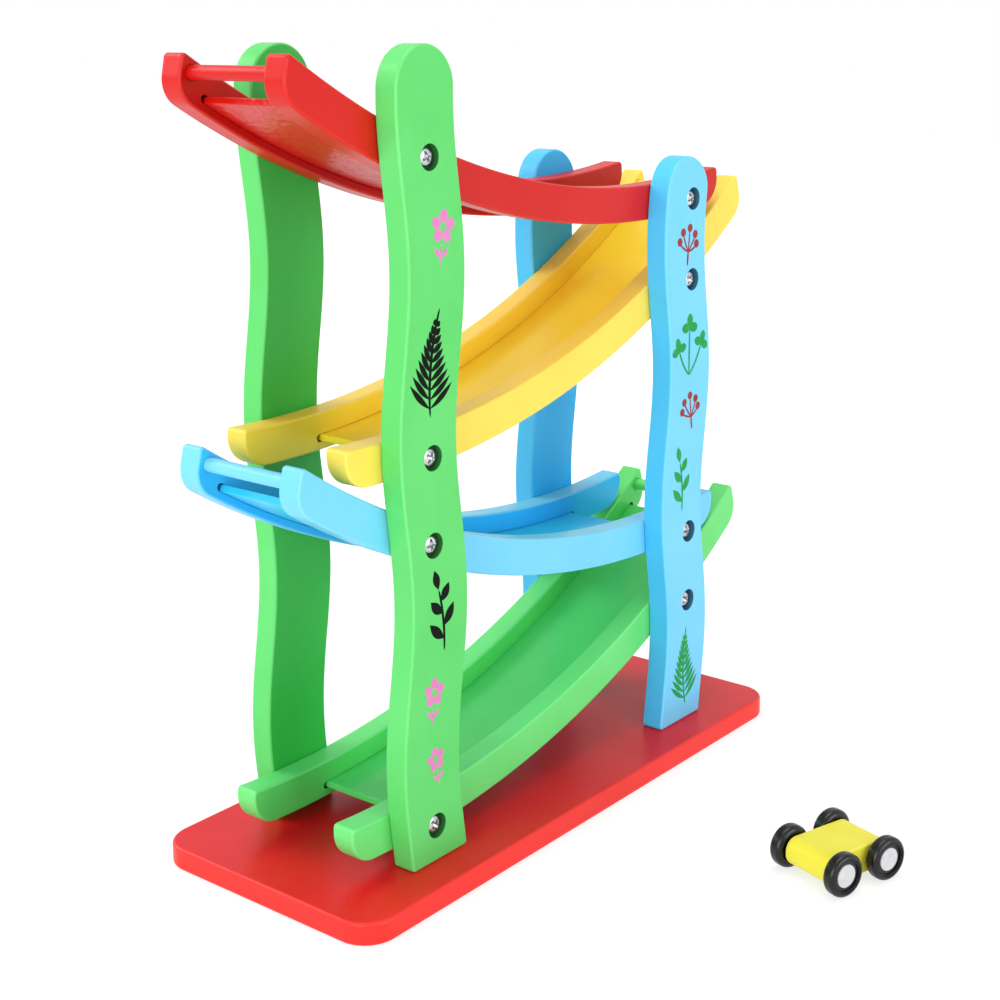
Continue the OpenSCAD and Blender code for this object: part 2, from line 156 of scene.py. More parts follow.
def rounded(corners: list[Triple], steps: int, closed: bool = True) -> Outline:
    """Counterclockwise polygon with a round at each corner.

    The round's centre lies on the corner's bisector at radius / sin(half the corner's angle). A radius of
    zero keeps a crisp corner, with its point given twice, once for each side's normal.

    Args:
        corners: x, y and radius of each corner.
        steps: chords in each round.
        closed: whether the last corner runs back to the first.

    Returns:
        The outline with its normals.
    """
    places = np.array([c[:2] for c in corners], float)
    parts = []
    for i, (*_, radius) in enumerate(corners):
        here = places[i]
        sides = unit(np.array([here - places[i - 1], places[(i + 1) % len(corners)] - here]))
        before, after = sides
        normals = right_of(sides)
        if not closed and i in (0, len(corners) - 1):
            parts.append(Outline(here[None], normals[1:] if i == 0 else normals[:1]))
        elif radius == 0:
            parts.append(Outline(np.array([here, here]), normals))
        else:
            bend = math.atan2(before[0] * after[1] - before[1] * after[0], before @ after)
            reach = radius * math.copysign(1, bend)
            centre = here - before * radius * math.tan(abs(bend) / 2) - normals[0] * reach
            turns = np.linspace(0, bend, steps + 1)[:, None]
            ways = normals[0] * np.cos(turns) + before * np.sin(turns)
            parts.append(Outline(centre + ways * reach, ways))
    return joined(*parts)


@dataclass(frozen=True)
class Place:
    """Where a piece's own a, b and c axes lie in the toy's frame."""

    origin: Triple = (0.0, 0.0, 0.0)
    a_axis: Triple = (1.0, 0.0, 0.0)
    b_axis: Triple = (0.0, 1.0, 0.0)
    c_axis: Triple = (0.0, 0.0, 1.0)

    @classmethod
    def upright(cls, x: float, y: float, z: float, side: int = 1, turn: float = 0.0) -> "Place":
        """Axes of a piece that is drawn in side view: a along the base, b up and c across it.

        Args:
            x: place of the origin along the base.
            y: its place across.
            z: its height.
            side: 1 where c points back, -1 where it points to the front.
            turn: turn of a and b about c, in degrees.

        Returns:
            The place.
        """
        a, b = math.cos(math.radians(turn)), math.sin(math.radians(turn))
        return cls((x, y, z), (a, 0, b), (-b, 0, a), (0, side, 0))

    def turned(self, local: Array) -> Array:
        """Directions in the toy's frame, one to a row."""
        return local.reshape(-1, 3) @ np.array([self.a_axis, self.b_axis, self.c_axis], float)


class Shell:
    """Closed skin of one piece, laid down patch by patch and welded where the patches meet."""

    def __init__(self, place: Place = Place()) -> None:
        """Starts an empty skin.

        Args:
            place: the axes in which its patches are given.
        """
        self.place = place
        self.points: list[Array] = []
        self.normals: list[Array] = []
        self.marks: dict[str, list[Array]] = {mark: [] for mark in MARKS}
        self.corners: list[Array] = []
        self.count = 0

    def patch(self, points: Array, normals: Array, corners: Array, marks: Marks | None) -> None:
        """Adds faces of four corners; a triangle gives its last corner twice.

        Args:
            points: places on the skin.
            normals: the way out at each.
            corners: numbers of each face's points.
            marks: what the finish is told about them.
        """
        self.points.append(self.place.turned(points) + np.array(self.place.origin, float))
        self.normals.append(self.place.turned(normals))
        count = len(self.points[-1])
        for mark, given in self.marks.items():
            given.append(np.broadcast_to(np.ravel((marks or {}).get(mark, 0.0)), count))
        self.corners.append(corners + self.count)
        self.count += count

    def grid(self, points: Array, normals: Array, wrap: bool = False, marks: Marks | None = None) -> None:
        """Adds a surface of rows and columns.

        Args:
            points: rows x columns x 3.
            normals: the way out at each point.
            wrap: whether it is closed round its columns.
            marks: what the finish is told about it.
        """
        rows, columns = points.shape[:2]
        index = np.arange(rows * columns).reshape(rows, columns)
        if wrap:
            index = np.hstack([index, index[:, :1]])
        quads = np.stack([index[:-1, :-1], index[1:, :-1], index[1:, 1:], index[:-1, 1:]], -1)
        self.patch(points, normals, quads.reshape(-1, 4), marks)

    def tube(self, points: Array, outward: Array) -> None:
        """Adds a grid that is closed round its columns.

        Its normals are the cross product of its two difference fields, turned to an outward hint.

        Args:
            points: rows x columns x 3.
            outward: vectors that roughly point out.
        """
        along = np.roll(points, -1, 1) - np.roll(points, 1, 1)
        normals = unit(np.cross(np.gradient(points, axis=0), along), outward)
        ways = np.where((normals * outward).sum(-1, keepdims=True) < 0, -1.0, 1.0)
        self.grid(points, normals * ways, wrap=True)

    def flat(self, loops: list[Array], height: float, way: int, marks: Marks | None = None) -> None:
        """Adds a flat face at a height on the c axis.

        Args:
            loops: its outline and then its holes, each n x 2.
            height: place on the c axis.
            way: 1 where it looks along c, -1 where it looks back.
            marks: what the finish is told about it.
        """
        open_loops = [p[np.linalg.norm(p - np.roll(p, 1, 0), axis=1) > WELD] for p in loops]
        places = np.concatenate(open_loops)
        corners = np.array(tessellate_polygon([[Vector((x, y, 0)) for x, y in p] for p in open_loops]))
        normals = np.tile([0.0, 0.0, float(way)], (len(places), 1))
        self.patch(np.insert(places, 2, height, -1), normals, np.hstack([corners, corners[:, 2:]]), marks)

    def revolve(self, profile: Outline, closed: bool = True, steps: int = ROUND_STEPS) -> "Shell":
        """Turns a profile round the c axis: (r cos t, r sin t, h).

        Args:
            profile: radius and height of its points.
            closed: whether the profile's end runs back to its start.
            steps: columns round the axis.

        Returns:
            The skin itself.
        """
        rows = [np.vstack([part, part[:1]]) if closed else part for part in (profile.points, profile.normals)]
        ways = ring(steps)
        self.grid(*(np.concatenate([part[:, None, :1] * ways, np.repeat(part[:, None, 1:], steps, 1)], -1)
                    for part in rows), wrap=True)
        return self

    def mesh(self, name: str) -> bpy.types.Mesh:
        """Welds the patches, turns every face to its normals and makes the mesh in metres.

        Args:
            name: the mesh's name.

        Returns:
            A mesh with its own corner normals and the marks as vertex attributes.
        """
        points, normals = np.concatenate(self.points), np.concatenate(self.normals)
        corners = np.concatenate(self.corners)
        keys = np.round(points / WELD).astype(np.int64)
        _, first, weld = np.unique(keys, axis=0, return_index=True, return_inverse=True)
        weld = weld.ravel()
        spots = points[corners]
        facing = np.cross(spots[:, 2] - spots[:, 0], spots[:, 3] - spots[:, 1])
        wrong = (facing * normals[corners].sum(1)).sum(1) < 0
        corners[wrong] = corners[wrong][:, ::-1]
        same = weld[corners] == weld[np.roll(corners, -1, 1)]
        quads = corners[same.sum(1) == 0]
        thin = same.sum(1) == 1
        triangles = corners[thin][~same[thin]].reshape(-1, 3)
        loops = np.concatenate([quads.ravel(), triangles.ravel()])
        starts = np.concatenate([np.arange(len(quads)) * 4, quads.size + np.arange(len(triangles)) * 3])
        made = bpy.data.meshes.new(name)
        made.vertices.add(len(first))
        made.vertices.foreach_set("co", (points[first] * MM).ravel())
        made.loops.add(len(loops))
        made.loops.foreach_set("vertex_index", weld[loops].astype(np.int32))
        made.polygons.add(len(starts))
        made.polygons.foreach_set("loop_start", starts.astype(np.int32))
        made.update(calc_edges=True)
        made.normals_split_custom_set(normals[loops])
        for mark, given in self.marks.items():
            values = np.zeros(len(first), np.float32)
            np.maximum.at(values, weld, np.concatenate(given).astype(np.float32))
            made.attributes.new(mark, "FLOAT", "POINT").data.foreach_set("value", values)
        return made


@dataclass(frozen=True)
class Pocket:
    """Hole or groove that is sunk into a face of a board, in steps from its mouth to its bottom."""

    face: int
    steps: list[tuple[Outline, float]]
    rim: float = 0.15
    rim_steps: int = 3


def drill(face: int, spot: Sequence[float], *steps: tuple[float, float], rim: float = 0.15) -> Pocket:
    """Round hole in a face, in steps that narrow; a fine bore has fewer chords.

    Args:
        face: 1 for the face that looks along c, -1 for the other.
        spot: its middle.
        steps: diameter and bottom of each step.
        rim: radius of the eased mouth.

    Returns:
        The hole.
    """
    walls = [(arc(spot, d / 2, 0, 360, BORE_STEPS if d < WIDEST_BORE else HOLE_STEPS, hollow=True), depth)
             for d, depth in steps]
    return Pocket(face, walls, rim)


def round_edge(radius: float, steps: int) -> tuple[Array, Array, Array]:
    """Quarter round from a face to a side: inset r (1 - sin t) and drop r (1 - cos t), for t from 0 to 90.

    Args:
        radius: its radius.
        steps: number of chords.

    Returns:
        The insets, the drops, and the shares (sin t, cos t) of the side's and the face's normal.
    """
    turns = np.radians(np.linspace(0, 90, steps + 1))
    shares = np.stack([np.sin(turns), np.cos(turns)], -1)
    return radius * (1 - shares[:, 0]), radius * (1 - shares[:, 1]), shares


def band(shell: Shell, line: Outline, insets: Array, heights: Array, shares: Array, marks: Marks) -> None:
    """Adds rings that follow a line at given insets and heights, with normals mixed by the shares.

    Args:
        shell: the skin that takes them.
        line: closed outline.
        insets: how far each ring lies inside it.
        heights: each ring's place on the c axis.
        shares: share of the line's normal and of the c axis in each ring's normals.
        marks: what the finish is told about each ring.
    """
    count = len(line.points)
    flat_points = line.points[None] - line.normals[None] * insets[:, None, None]
    flat_normals = line.normals[None] * shares[:, None, :1]
    shell.grid(
        np.concatenate([flat_points, np.repeat(heights[:, None, None], count, 1)], -1),
        np.concatenate([flat_normals, np.repeat(shares[:, None, 1:], count, 1)], -1),
        wrap=True, marks={mark: np.repeat(values, count) for mark, values in marks.items()})


def board(shell: Shell, line: Outline, thickness: float, edge: float, pockets: list[Pocket] | None = None,
          edge_steps: int = 5) -> Shell:
    """Adds a board: its outline swept through its thickness, with softened edges, and its pockets.

    Args:
        shell: the skin that takes it, with the thickness along its c axis.
        line: closed outline.
        thickness: from face to face.
        edge: radius of the softened edges.
        pockets: what is sunk into its faces.
        edge_steps: chords in an edge's round.

    Returns:
        The skin.
    """
    insets, drops, shares = round_edge(edge, edge_steps)
    half = thickness / 2
    both = np.concatenate([shares, shares[::-1]])
    # cut_rim marks the sawn rim and inner_side the rounds into the face that looks back; the finish paints
    # light and shade on them
    band(shell, line, np.append(insets, insets[::-1]), np.append(half - drops, drops[::-1] - half),
         np.concatenate([shares, shares[::-1] * [1, -1]]), {
             "edge_wear": 2 * both.prod(1), "cut_rim": both[:, 0] ** 2,
             "inner_side": np.append(np.zeros(len(drops)), np.linspace(0, 1, len(drops)))})
    mouths: dict[int, list[Array]] = {1: [], -1: []}
    for pocket in pockets or []:
        way, top, last = pocket.face, 0.0, line.points
        insets, drops, shares = round_edge(pocket.rim, pocket.rim_steps)
        shares = np.vstack([shares, shares[-1:]])
        for wall, depth in pocket.steps:
            inside = float(depth < thickness)
            if top == 0:
                mouths[way].append(wall.inset(pocket.rim))
                band(shell, wall, np.append(insets, 0.0), way * (half - np.append(drops, depth)),
                     shares * [1, way], {
                         "edge_wear": 2 * shares.prod(1),
                         "drilled": np.append(np.linspace(0, 1, len(drops)), inside)})
            else:
                shell.flat([last, wall.points], way * (half - top), way, {"drilled": 1.0})
                band(shell, wall, np.zeros(2), way * (half - np.array([top, depth])),
                     np.array([[1.0, 0.0], [1.0, 0.0]]), {"drilled": np.array([1.0, inside])})
            top, last = depth, wall.points
        if top >= thickness:
            mouths[-way].append(last)
        else:
            shell.flat([last], way * (half - top), way, {"drilled": 1.0})
    for way, holes in mouths.items():
        # The face that looks back is marked inner_side, where the finish mixes in its inner colour, a painted
        # shade on rails and posts
        shell.flat([line.inset(edge), *holes], way * half, way, {"inner_side": float(way < 0)})
    return shell


def add_node(tree: bpy.types.NodeTree, kind: str, settings: dict | None = None,
             values: dict | None = None) -> bpy.types.Node:
    """Adds a node to a tree.

    Args:
        tree: the material's or the world's nodes.
        kind: the node's type.
        settings: properties to set on it.
        values: what goes into its inputs: a socket or a node's first output is linked, anything else is set.

    Returns:
        The new node.
    """
    made = tree.nodes.new(kind)
    for name, value in (settings or {}).items():
        setattr(made, name, value)
    for name, value in (values or {}).items():
        source = value.outputs[0] if isinstance(value, bpy.types.Node) else value
        if isinstance(source, bpy.types.NodeSocket):
            tree.links.new(source, made.inputs[name])
        else:
            made.inputs[name].default_value = source
    return made


def new_material(name: str) -> tuple[bpy.types.Material, bpy.types.NodeTree, bpy.types.NodeSocket]:
    """A node material that still shows nothing.

    Args:
        name: the material's name.

    Returns:
        The material, its nodes and the socket of the Object coordinates.
    """
    made = bpy.data.materials.new(name)
    made.use_nodes = True
    made.node_tree.nodes.clear()
    return made, made.node_tree, add_node(made.node_tree, "ShaderNodeTexCoord").outputs["Object"]


class Grain(Enum):
    """Which way the grain of a board runs; a ramp's grain follows its chord."""

    ALONG_BASE = "x"
    UPRIGHT = "z"


@dataclass(frozen=True)
class Lacquer:
    """Satin lacquer sprayed on sanded beech ply: deep even colour, soft sheen that breaks up at a low angle.

    The coat bridges the grain, so that only faint lines follow it, and it is thin on the softened edges. The
    faces that look back, into the channel on rails and posts, are mixed towards the inner colour, a painted
    shade, and the sawn rims by their own share, a painted light on the base and a painted shade on the blue
    posts. Drilled walls are darkened, a painted shade in the hollow, and dulled.
    Scales are in millimetres. The true grain, about 0.3 mm, would not show, so its lines are drawn wider.
    """

    name: str
    colour: str
    deep: str
    edge: str
    # Colour mixed into the faces that look back and into the rims: a painted shade, and a painted light on
    # the base's rim
    inner: str
    grain: Grain = Grain.ALONG_BASE
    grain_tilt: float = 0.0
    roughness: float = 0.46
    roughness_dip: float = 0.04
    roughness_rise: float = 0.05
    gloss: float = 0.25
    gloss_roughness: float = 0.25
    ior: float = 1.26
    grain_width: float = 1.1
    grain_length: float = 38.0
    grain_relief: float = 0.003
    peel_width: float = 2.0
    peel_relief: float = 0.026
    cloud_width: float = 34.0
    cloud_share: float = 0.7
    streak_share: float = 0.08
    wear_share: float = 0.2
    # The next value darkens the drilled walls, a painted shade in the hollow; the one after it roughens them
    hole_shade: float = 0.24
    hole_dulling: float = 0.3
    # Share of the inner colour on the sawn rims: a painted light on the base, a painted shade on the blue
    # posts
    painted_rim_shading: float = 0.0

    @cache
    def material(self) -> bpy.types.Material:
        """The finish on Object coordinates, made on its first use.

        Returns:
            The Blender material.
        """
        made, tree, spot = new_material(self.name)
        across, along = 1 / (self.grain_width * MM), 1 / (self.grain_length * MM)
        stretch = (along, across, across) if self.grain is Grain.ALONG_BASE else (across, across, along)
        turned = add_node(tree, "ShaderNodeMapping", values={
            "Vector": spot, "Rotation": (0.0, math.radians(-self.grain_tilt), 0.0)})
        stretched = add_node(tree, "ShaderNodeVectorMath", {"operation": "MULTIPLY"}, {0: turned, 1: stretch})
        lines, peel, cloud = [add_node(tree, "ShaderNodeTexNoise", values={
            "Vector": place, "Scale": scale, "Detail": detail, "Roughness": breaks})
            for place, scale, detail, breaks in (
                (stretched, 1.0, 3.0, 0.6), (spot, 1 / (self.peel_width * MM), 2.0, 0.45),
                (spot, 1 / (self.cloud_width * MM), 3.0, 0.55))]
        thick, satin, streak = [add_node(tree, "ShaderNodeMapRange", values={
            "Value": noise, **span, "To Min": low, "To Max": high})
            for noise, span, low, high in (
                (cloud, NOISE, 0.0, self.cloud_share),
                (cloud, NOISE, self.roughness - self.roughness_dip, self.roughness + self.roughness_rise),
                (lines, CRISP_NOISE, 0.0, self.streak_share))]
        worn, drilled, inner, rim = [
            add_node(tree, "ShaderNodeAttribute", {"attribute_name": mark}).outputs["Fac"] for mark in MARKS]
        coat, depth, rubbed, rough = [
            add_node(tree, "ShaderNodeMath", {"operation": "MULTIPLY_ADD", "use_clamp": True}, {
                0: value, 1: share, 2: rest})
            for value, share, rest in (
                (thick, 1.0, streak), (rim, self.painted_rim_shading, inner), (worn, self.wear_share, 0.0),
                (drilled, self.hole_dulling, satin))]
        colour = linear(self.colour)
        # Cloud and streaks mix in the deep colour; the inner and rim marks mix in the inner colour, painted
        # shade and light; the edge marks mix in wear; drilled walls are darkened, a painted shade
        for share, blend, tint in (
                (coat, "MIX", linear(self.deep)), (depth, "MIX", linear(self.inner)),
                (rubbed, "MIX", linear(self.edge)), (drilled, "MULTIPLY", (*[self.hole_shade] * 3, 1.0))):
            colour = add_node(tree, "ShaderNodeMix", {"data_type": "RGBA", "blend_type": blend}, {
                "Factor": share, 6: colour, 7: tint}).outputs[2]
        grained = add_node(tree, "ShaderNodeBump", values={
            "Height": lines, "Distance": self.grain_relief * MM, "Strength": 1.0})
        bumped = add_node(tree, "ShaderNodeBump", values={
            "Height": peel, "Distance": self.peel_relief * MM, "Strength": 1.0, "Normal": grained})
        shader = add_node(tree, "ShaderNodeBsdfPrincipled", values={
            "Base Color": colour, "Roughness": rough, "IOR": self.ior, "Normal": bumped,
            "Coat Weight": self.gloss, "Coat Roughness": self.gloss_roughness, "Coat Normal": bumped})
        add_node(tree, "ShaderNodeOutputMaterial", values={"Surface": shader})
        return made


@dataclass(frozen=True)
class Plain:
    """Moulded, cast or plated finish: one colour that drifts a little, with a fine skin of its own.

    Scales are in millimetres.
    """

    name: str
    colour: str
    drift: str
    roughness: float
    roughness_drift: float
    skin_width: float
    skin_relief: float
    drift_width: float
    metallic: float = 0.0
    ior: float = 1.5

    @cache
    def material(self) -> bpy.types.Material:
        """The finish on Object coordinates, made on its first use.

        Returns:
            The Blender material.
        """
        made, tree, spot = new_material(self.name)
        skin, cloud = [add_node(tree, "ShaderNodeTexNoise", values={
            "Vector": spot, "Scale": 1 / (width * MM), "Detail": 3.0, "Roughness": breaks})
            for width, breaks in ((self.skin_width, 0.6), (self.drift_width, 0.55))]
        spread, rough = [add_node(tree, "ShaderNodeMapRange", values={
            "Value": cloud, **NOISE, "To Min": low, "To Max": high})
            for low, high in ((0.0, 1.0), (self.roughness - self.roughness_drift,
                                           self.roughness + self.roughness_drift))]
        colour = add_node(tree, "ShaderNodeMix", {"data_type": "RGBA"}, {
            "Factor": spread, 6: linear(self.colour), 7: linear(self.drift)}).outputs[2]
        bumped = add_node(tree, "ShaderNodeBump", values={
            "Height": skin, "Distance": self.skin_relief * MM, "Strength": 1.0})
        shader = add_node(tree, "ShaderNodeBsdfPrincipled", values={
            "Base Color": colour, "Roughness": rough, "Metallic": self.metallic, "Normal": bumped})
        if self.metallic == 0:
            shader.inputs["IOR"].default_value = self.ior
        add_node(tree, "ShaderNodeOutputMaterial", values={"Surface": shader})
        return made


# Bright red of the base, whose wide top shows the whole sheen; its sawn rim is mixed to a lighter, warmer
# red, a painted light
BASE_LACQUER = Lacquer("red_lacquered_base_ply", "#e6151d", "#d80f17", "#ff5a4e", "#f02a22", painted_rim_shading=1.0)
# Full red of the top ramp, deep enough to stay red under the lamps, with its channel sides darker, a painted
# shade
RED_LACQUER = Lacquer("red_lacquered_ply", "#d0110a", "#c40d06", "#f5483c", "#b80806")
# Warm egg yellow that looks lit from inside, paler where the coat is thin on an edge, deeper on the channel
# sides as painted shade
YELLOW_LACQUER = Lacquer("yellow_lacquered_ply", "#fade5a", "#f8d54e", "#ffee82", "#fcdc42")
# Clear sky blue, stronger on the channel sides, a painted shade
BLUE_LACQUER = Lacquer("blue_lacquered_ply", "#78d2fa", "#6ccaf6", "#a2e6ff", "#34c0ff")
# Fresh leaf green with soft pale edges, a lighter copy of the posts' green that paints light onto the low
# rails, deeper on the channel sides as painted shade
GREEN_LACQUER = Lacquer("green_lacquered_ply", "#70e27c", "#62d86e", "#9cf0a0", "#5ad86a")
# Lemon coat on the small solid block of the car, with a finer grain and smaller clouds than the boards have
CAR_LACQUER = Lacquer(
    "lemon_lacquered_beech", "#f2e74a", "#ecdf3a", "#faf27c", "#f2e74a", grain_width=0.7, cloud_width=12.0)

# Bright zinc plating on a pressed steel screw: a hard mirror with a faint satin from the dies
ZINC_STEEL = Plain("bright_zinc_plated_steel", "#d2d4d8", "#b4b8be", 0.22, 0.05, 0.35, 0.002, 1.8, 1.0)
# Drawn steel wire of the axles, duller than the plated screws
AXLE_STEEL = Plain("drawn_steel_wire", "#b8bbbf", "#9a9ea4", 0.32, 0.05, 0.3, 0.002, 2.0, 1.0)
# Soft black rubber, moulded and a little dusty, with a broad shine on its shoulders
TYRE_RUBBER = Plain("black_moulded_rubber", "#08080a", "#101012", 0.26, 0.05, 0.5, 0.005, 3.0, ior=1.42)
# Black ABS of the rims, smoother and deeper than the rubber
RIM_PLASTIC = Plain("black_moulded_abs", "#09090b", "#101012", 0.26, 0.04, 0.4, 0.003, 3.0, ior=1.42)
# Pale grey ABS of the hub caps, from a spark-eroded mould with an even matt grain
CAP_PLASTIC = Plain("pale_grey_moulded_abs", "#d0d0d2", "#c4c4c7", 0.5, 0.04, 0.28, 0.01, 2.0)


class Ink(Enum):
    """Screen-printed inks on the posts; each is a matt film on the lacquer."""

    BLACK = Plain("black_screen_ink", "#040a05", "#0a120c", 0.5, 0.05, 0.5, 0.004, 4.0, ior=1.16)
    PINK = Plain("pink_screen_ink", "#e489c4", "#da7ab8", 0.5, 0.05, 0.5, 0.004, 4.0, ior=1.3)
    GREEN = Plain("leaf_green_screen_ink", "#1fa24c", "#188f40", 0.5, 0.05, 0.5, 0.004, 4.0, ior=1.25)
    RUSSET = Plain("russet_screen_ink", "#a03a32", "#8c302a", 0.5, 0.05, 0.5, 0.004, 4.0, ior=1.25)


def dress(shell: Shell, name: str, body: str, finish: Lacquer | Plain, node: bool = True) -> None:
    """Makes a piece from its skin, lets it ride on a body and reports it.

    Args:
        shell: the finished skin.
        name: the CAD node that it stands for, or the name of a print.
        body: the body that it moves with.
        finish: its finish.
        node: whether it stands for a node.
    """
    label = f"{name}_dressed" if node else name
    piece = bpy.data.objects.new(label, shell.mesh(label))
    bpy.context.scene.collection.objects.link(piece)
    piece.data.materials.append(finish.material())
    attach(piece, body)
    LOG.info("%s: %d faces", label, len(piece.data.polygons))
    if node:
        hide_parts(name)
        low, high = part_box(name)
        spots = np.concatenate(shell.points) * MM
        miss = max(np.abs(spots.min(0) - low).max(), np.abs(spots.max(0) - high).max()) / MM
        LOG.info("%s: corners %.2f mm from the node's", label, miss)


@dataclass(frozen=True)
class Stroke:
    """Blade of ink: a middle line with half a width at each of its points."""

    line: Array
    half: Array


def blade(start: Array, heading: float, length: float, width: float, bend: float = 0.0,
          blunt: float = 1.0, steps: int = 14) -> Stroke:
    """Leaf, petal or stem: a line that curves evenly, with a half width of (w / 2) sin(pi s) ** blunt.

    Args:
        start: where it grows from.
        heading: its direction in degrees, 0 upwards and positive to the right.
        length: its length.
        width: its greatest width.
        bend: how far it turns along its length, in degrees.
        blunt: below 1 for round ends, above 1 for pointed ones.
        steps: chords along it.

    Returns:
        The stroke.
    """
    shares = np.linspace(0, 1, steps + 1)
    turns = np.radians(heading + bend * shares)
    ways = np.stack([np.sin(turns), np.cos(turns)], -1)
    pieces = (ways[1:] + ways[:-1]) / 2 * length / steps
    line = np.asarray(start) + np.vstack([np.zeros(2), np.cumsum(pieces, 0)])
    return Stroke(line, width / 2 * np.sin(np.pi * shares).clip(0) ** blunt)


class Motif(Enum):
    """Plant motifs of the prints."""

    FERN = "arching stem with pairs of leaflets that shorten towards its tip"
    TWIG = "stem with broad pointed leaves left and right by turns, and one at its tip"
    BLOSSOM = "five round petals about an open middle, over a stem with two leaves"
    BERRIES = "short stem that forks into stalks, each with a round berry"
    CLOVER = "three bowed stems, each with three round leaves about its end"

    def strokes(self) -> list[Stroke]:
        """The motif's blades, with every length and width as a share of its height and angles in degrees.

        Returns:
            The blades in the order in which they are printed.
        """
        foot = np.zeros(2)
        if self is Motif.FERN:
            stem = blade(foot, -8, 1.0, 0.035, 26, 0.25, 24)
            return [stem] + [blade(stem.line[k], side * (62 - k) + k, 0.4 * (1 - k / 24), 0.06, -side * 18)
                             for k in range(2, 21, 2) for side in (-1, 1)]
        if self is Motif.TWIG:
            stem = blade(foot, 10, 0.78, 0.04, -20, 0.25, 20)
            return [stem, blade(stem.line[-1], -10, 0.26, 0.12)] + [
                blade(stem.line[4 + 4 * k], side * 52, 0.34 - 0.03 * k, 0.13, -side * 20)
                for k, side in enumerate((-1, 1, -1, 1))]
        if self is Motif.BLOSSOM:
            stem = blade(foot, -6, 0.38, 0.045, 12, 0.3)
            petals = [blade([0.07 * math.sin(math.radians(turn)), 0.68 + 0.07 * math.cos(math.radians(turn))],
                            turn, 0.25, 0.22, 0, 0.55) for turn in range(0, 360, 72)]
            leaves = [blade(stem.line[5], side * 60, 0.26, 0.09, -side * 30) for side in (-1, 1)]
            return [*petals, stem, *leaves]
        if self is Motif.BERRIES:
            strokes = [blade(foot, 0, 0.36, 0.07, 0, 0.3)]
            for heading, reach in ((-74, 0.4), (-36, 0.46), (4, 0.5), (42, 0.44), (78, 0.36)):
                stalk = blade([0.0, 0.32], heading, reach, 0.05, -heading * 0.3, 0.3)
                strokes += [stalk, blade(stalk.line[-1] - [0.0, 0.06], 0, 0.2, 0.2, 0, 0.5)]
            return strokes
        strokes = []
        for heading, reach, leaf in ((-52, 0.5, 0.19), (46, 0.56, 0.19), (-4, 0.72, 0.21)):
            stem = blade(foot, heading, reach, 0.04, -heading * 0.6, 0.25, 20)
            strokes += [stem] + [blade(stem.line[-1], heading * 0.4 + spread, leaf, leaf * 0.72, 0, 0.55)
                                 for spread in (-92, 0, 92)]
        return strokes


@dataclass(frozen=True)
class Print:
    """One printed motif: what it shows, where it stands on its post, its size, its lean and its ink."""

    motif: Motif
    height: float
    shift: float
    size: float
    lean: float
    ink: Ink
    film: float = 0.05
    sunk: float = 0.02
    layer_rise: float = 0.02

    def lay(self, shell: Shell, middle: float, face: float) -> None:
        """Adds the motif to a skin as thin closed blades, each a little over the one before.

        Args:
            shell: the skin, with a along the base, b up and c out of the post.
            middle: the post's middle at the motif's height.
            face: the post's outer face on c.
        """
        cos, sin = math.cos(math.radians(self.lean)), math.sin(math.radians(self.lean))
        turn = np.array([[cos, -sin], [sin, cos]])
        for layer, stroke in enumerate(self.motif.strokes()):
            line = self.size * stroke.line @ turn + [middle + self.shift, self.height]
            side = right_of(unit(np.gradient(line, axis=0))) * stroke.half[:, None] * self.size
            rims = np.stack([line - side, line + side])
            top = face + self.film * (1 + self.layer_rise * layer)
            upper, lower = (np.insert(rims, 2, height, -1) for height in (top, face - self.sunk))
            up = np.broadcast_to([0.0, 0.0, 1.0], upper.shape)
            shell.grid(upper, up)
            shell.grid(lower, -up)
            for k, way in ((0, -1.0), (1, 1.0)):
                out = unit(np.insert(side * way, 2, 0.0, -1), up[k])
                shell.grid(np.stack([upper[k], lower[k]]), np.stack([out, out]))


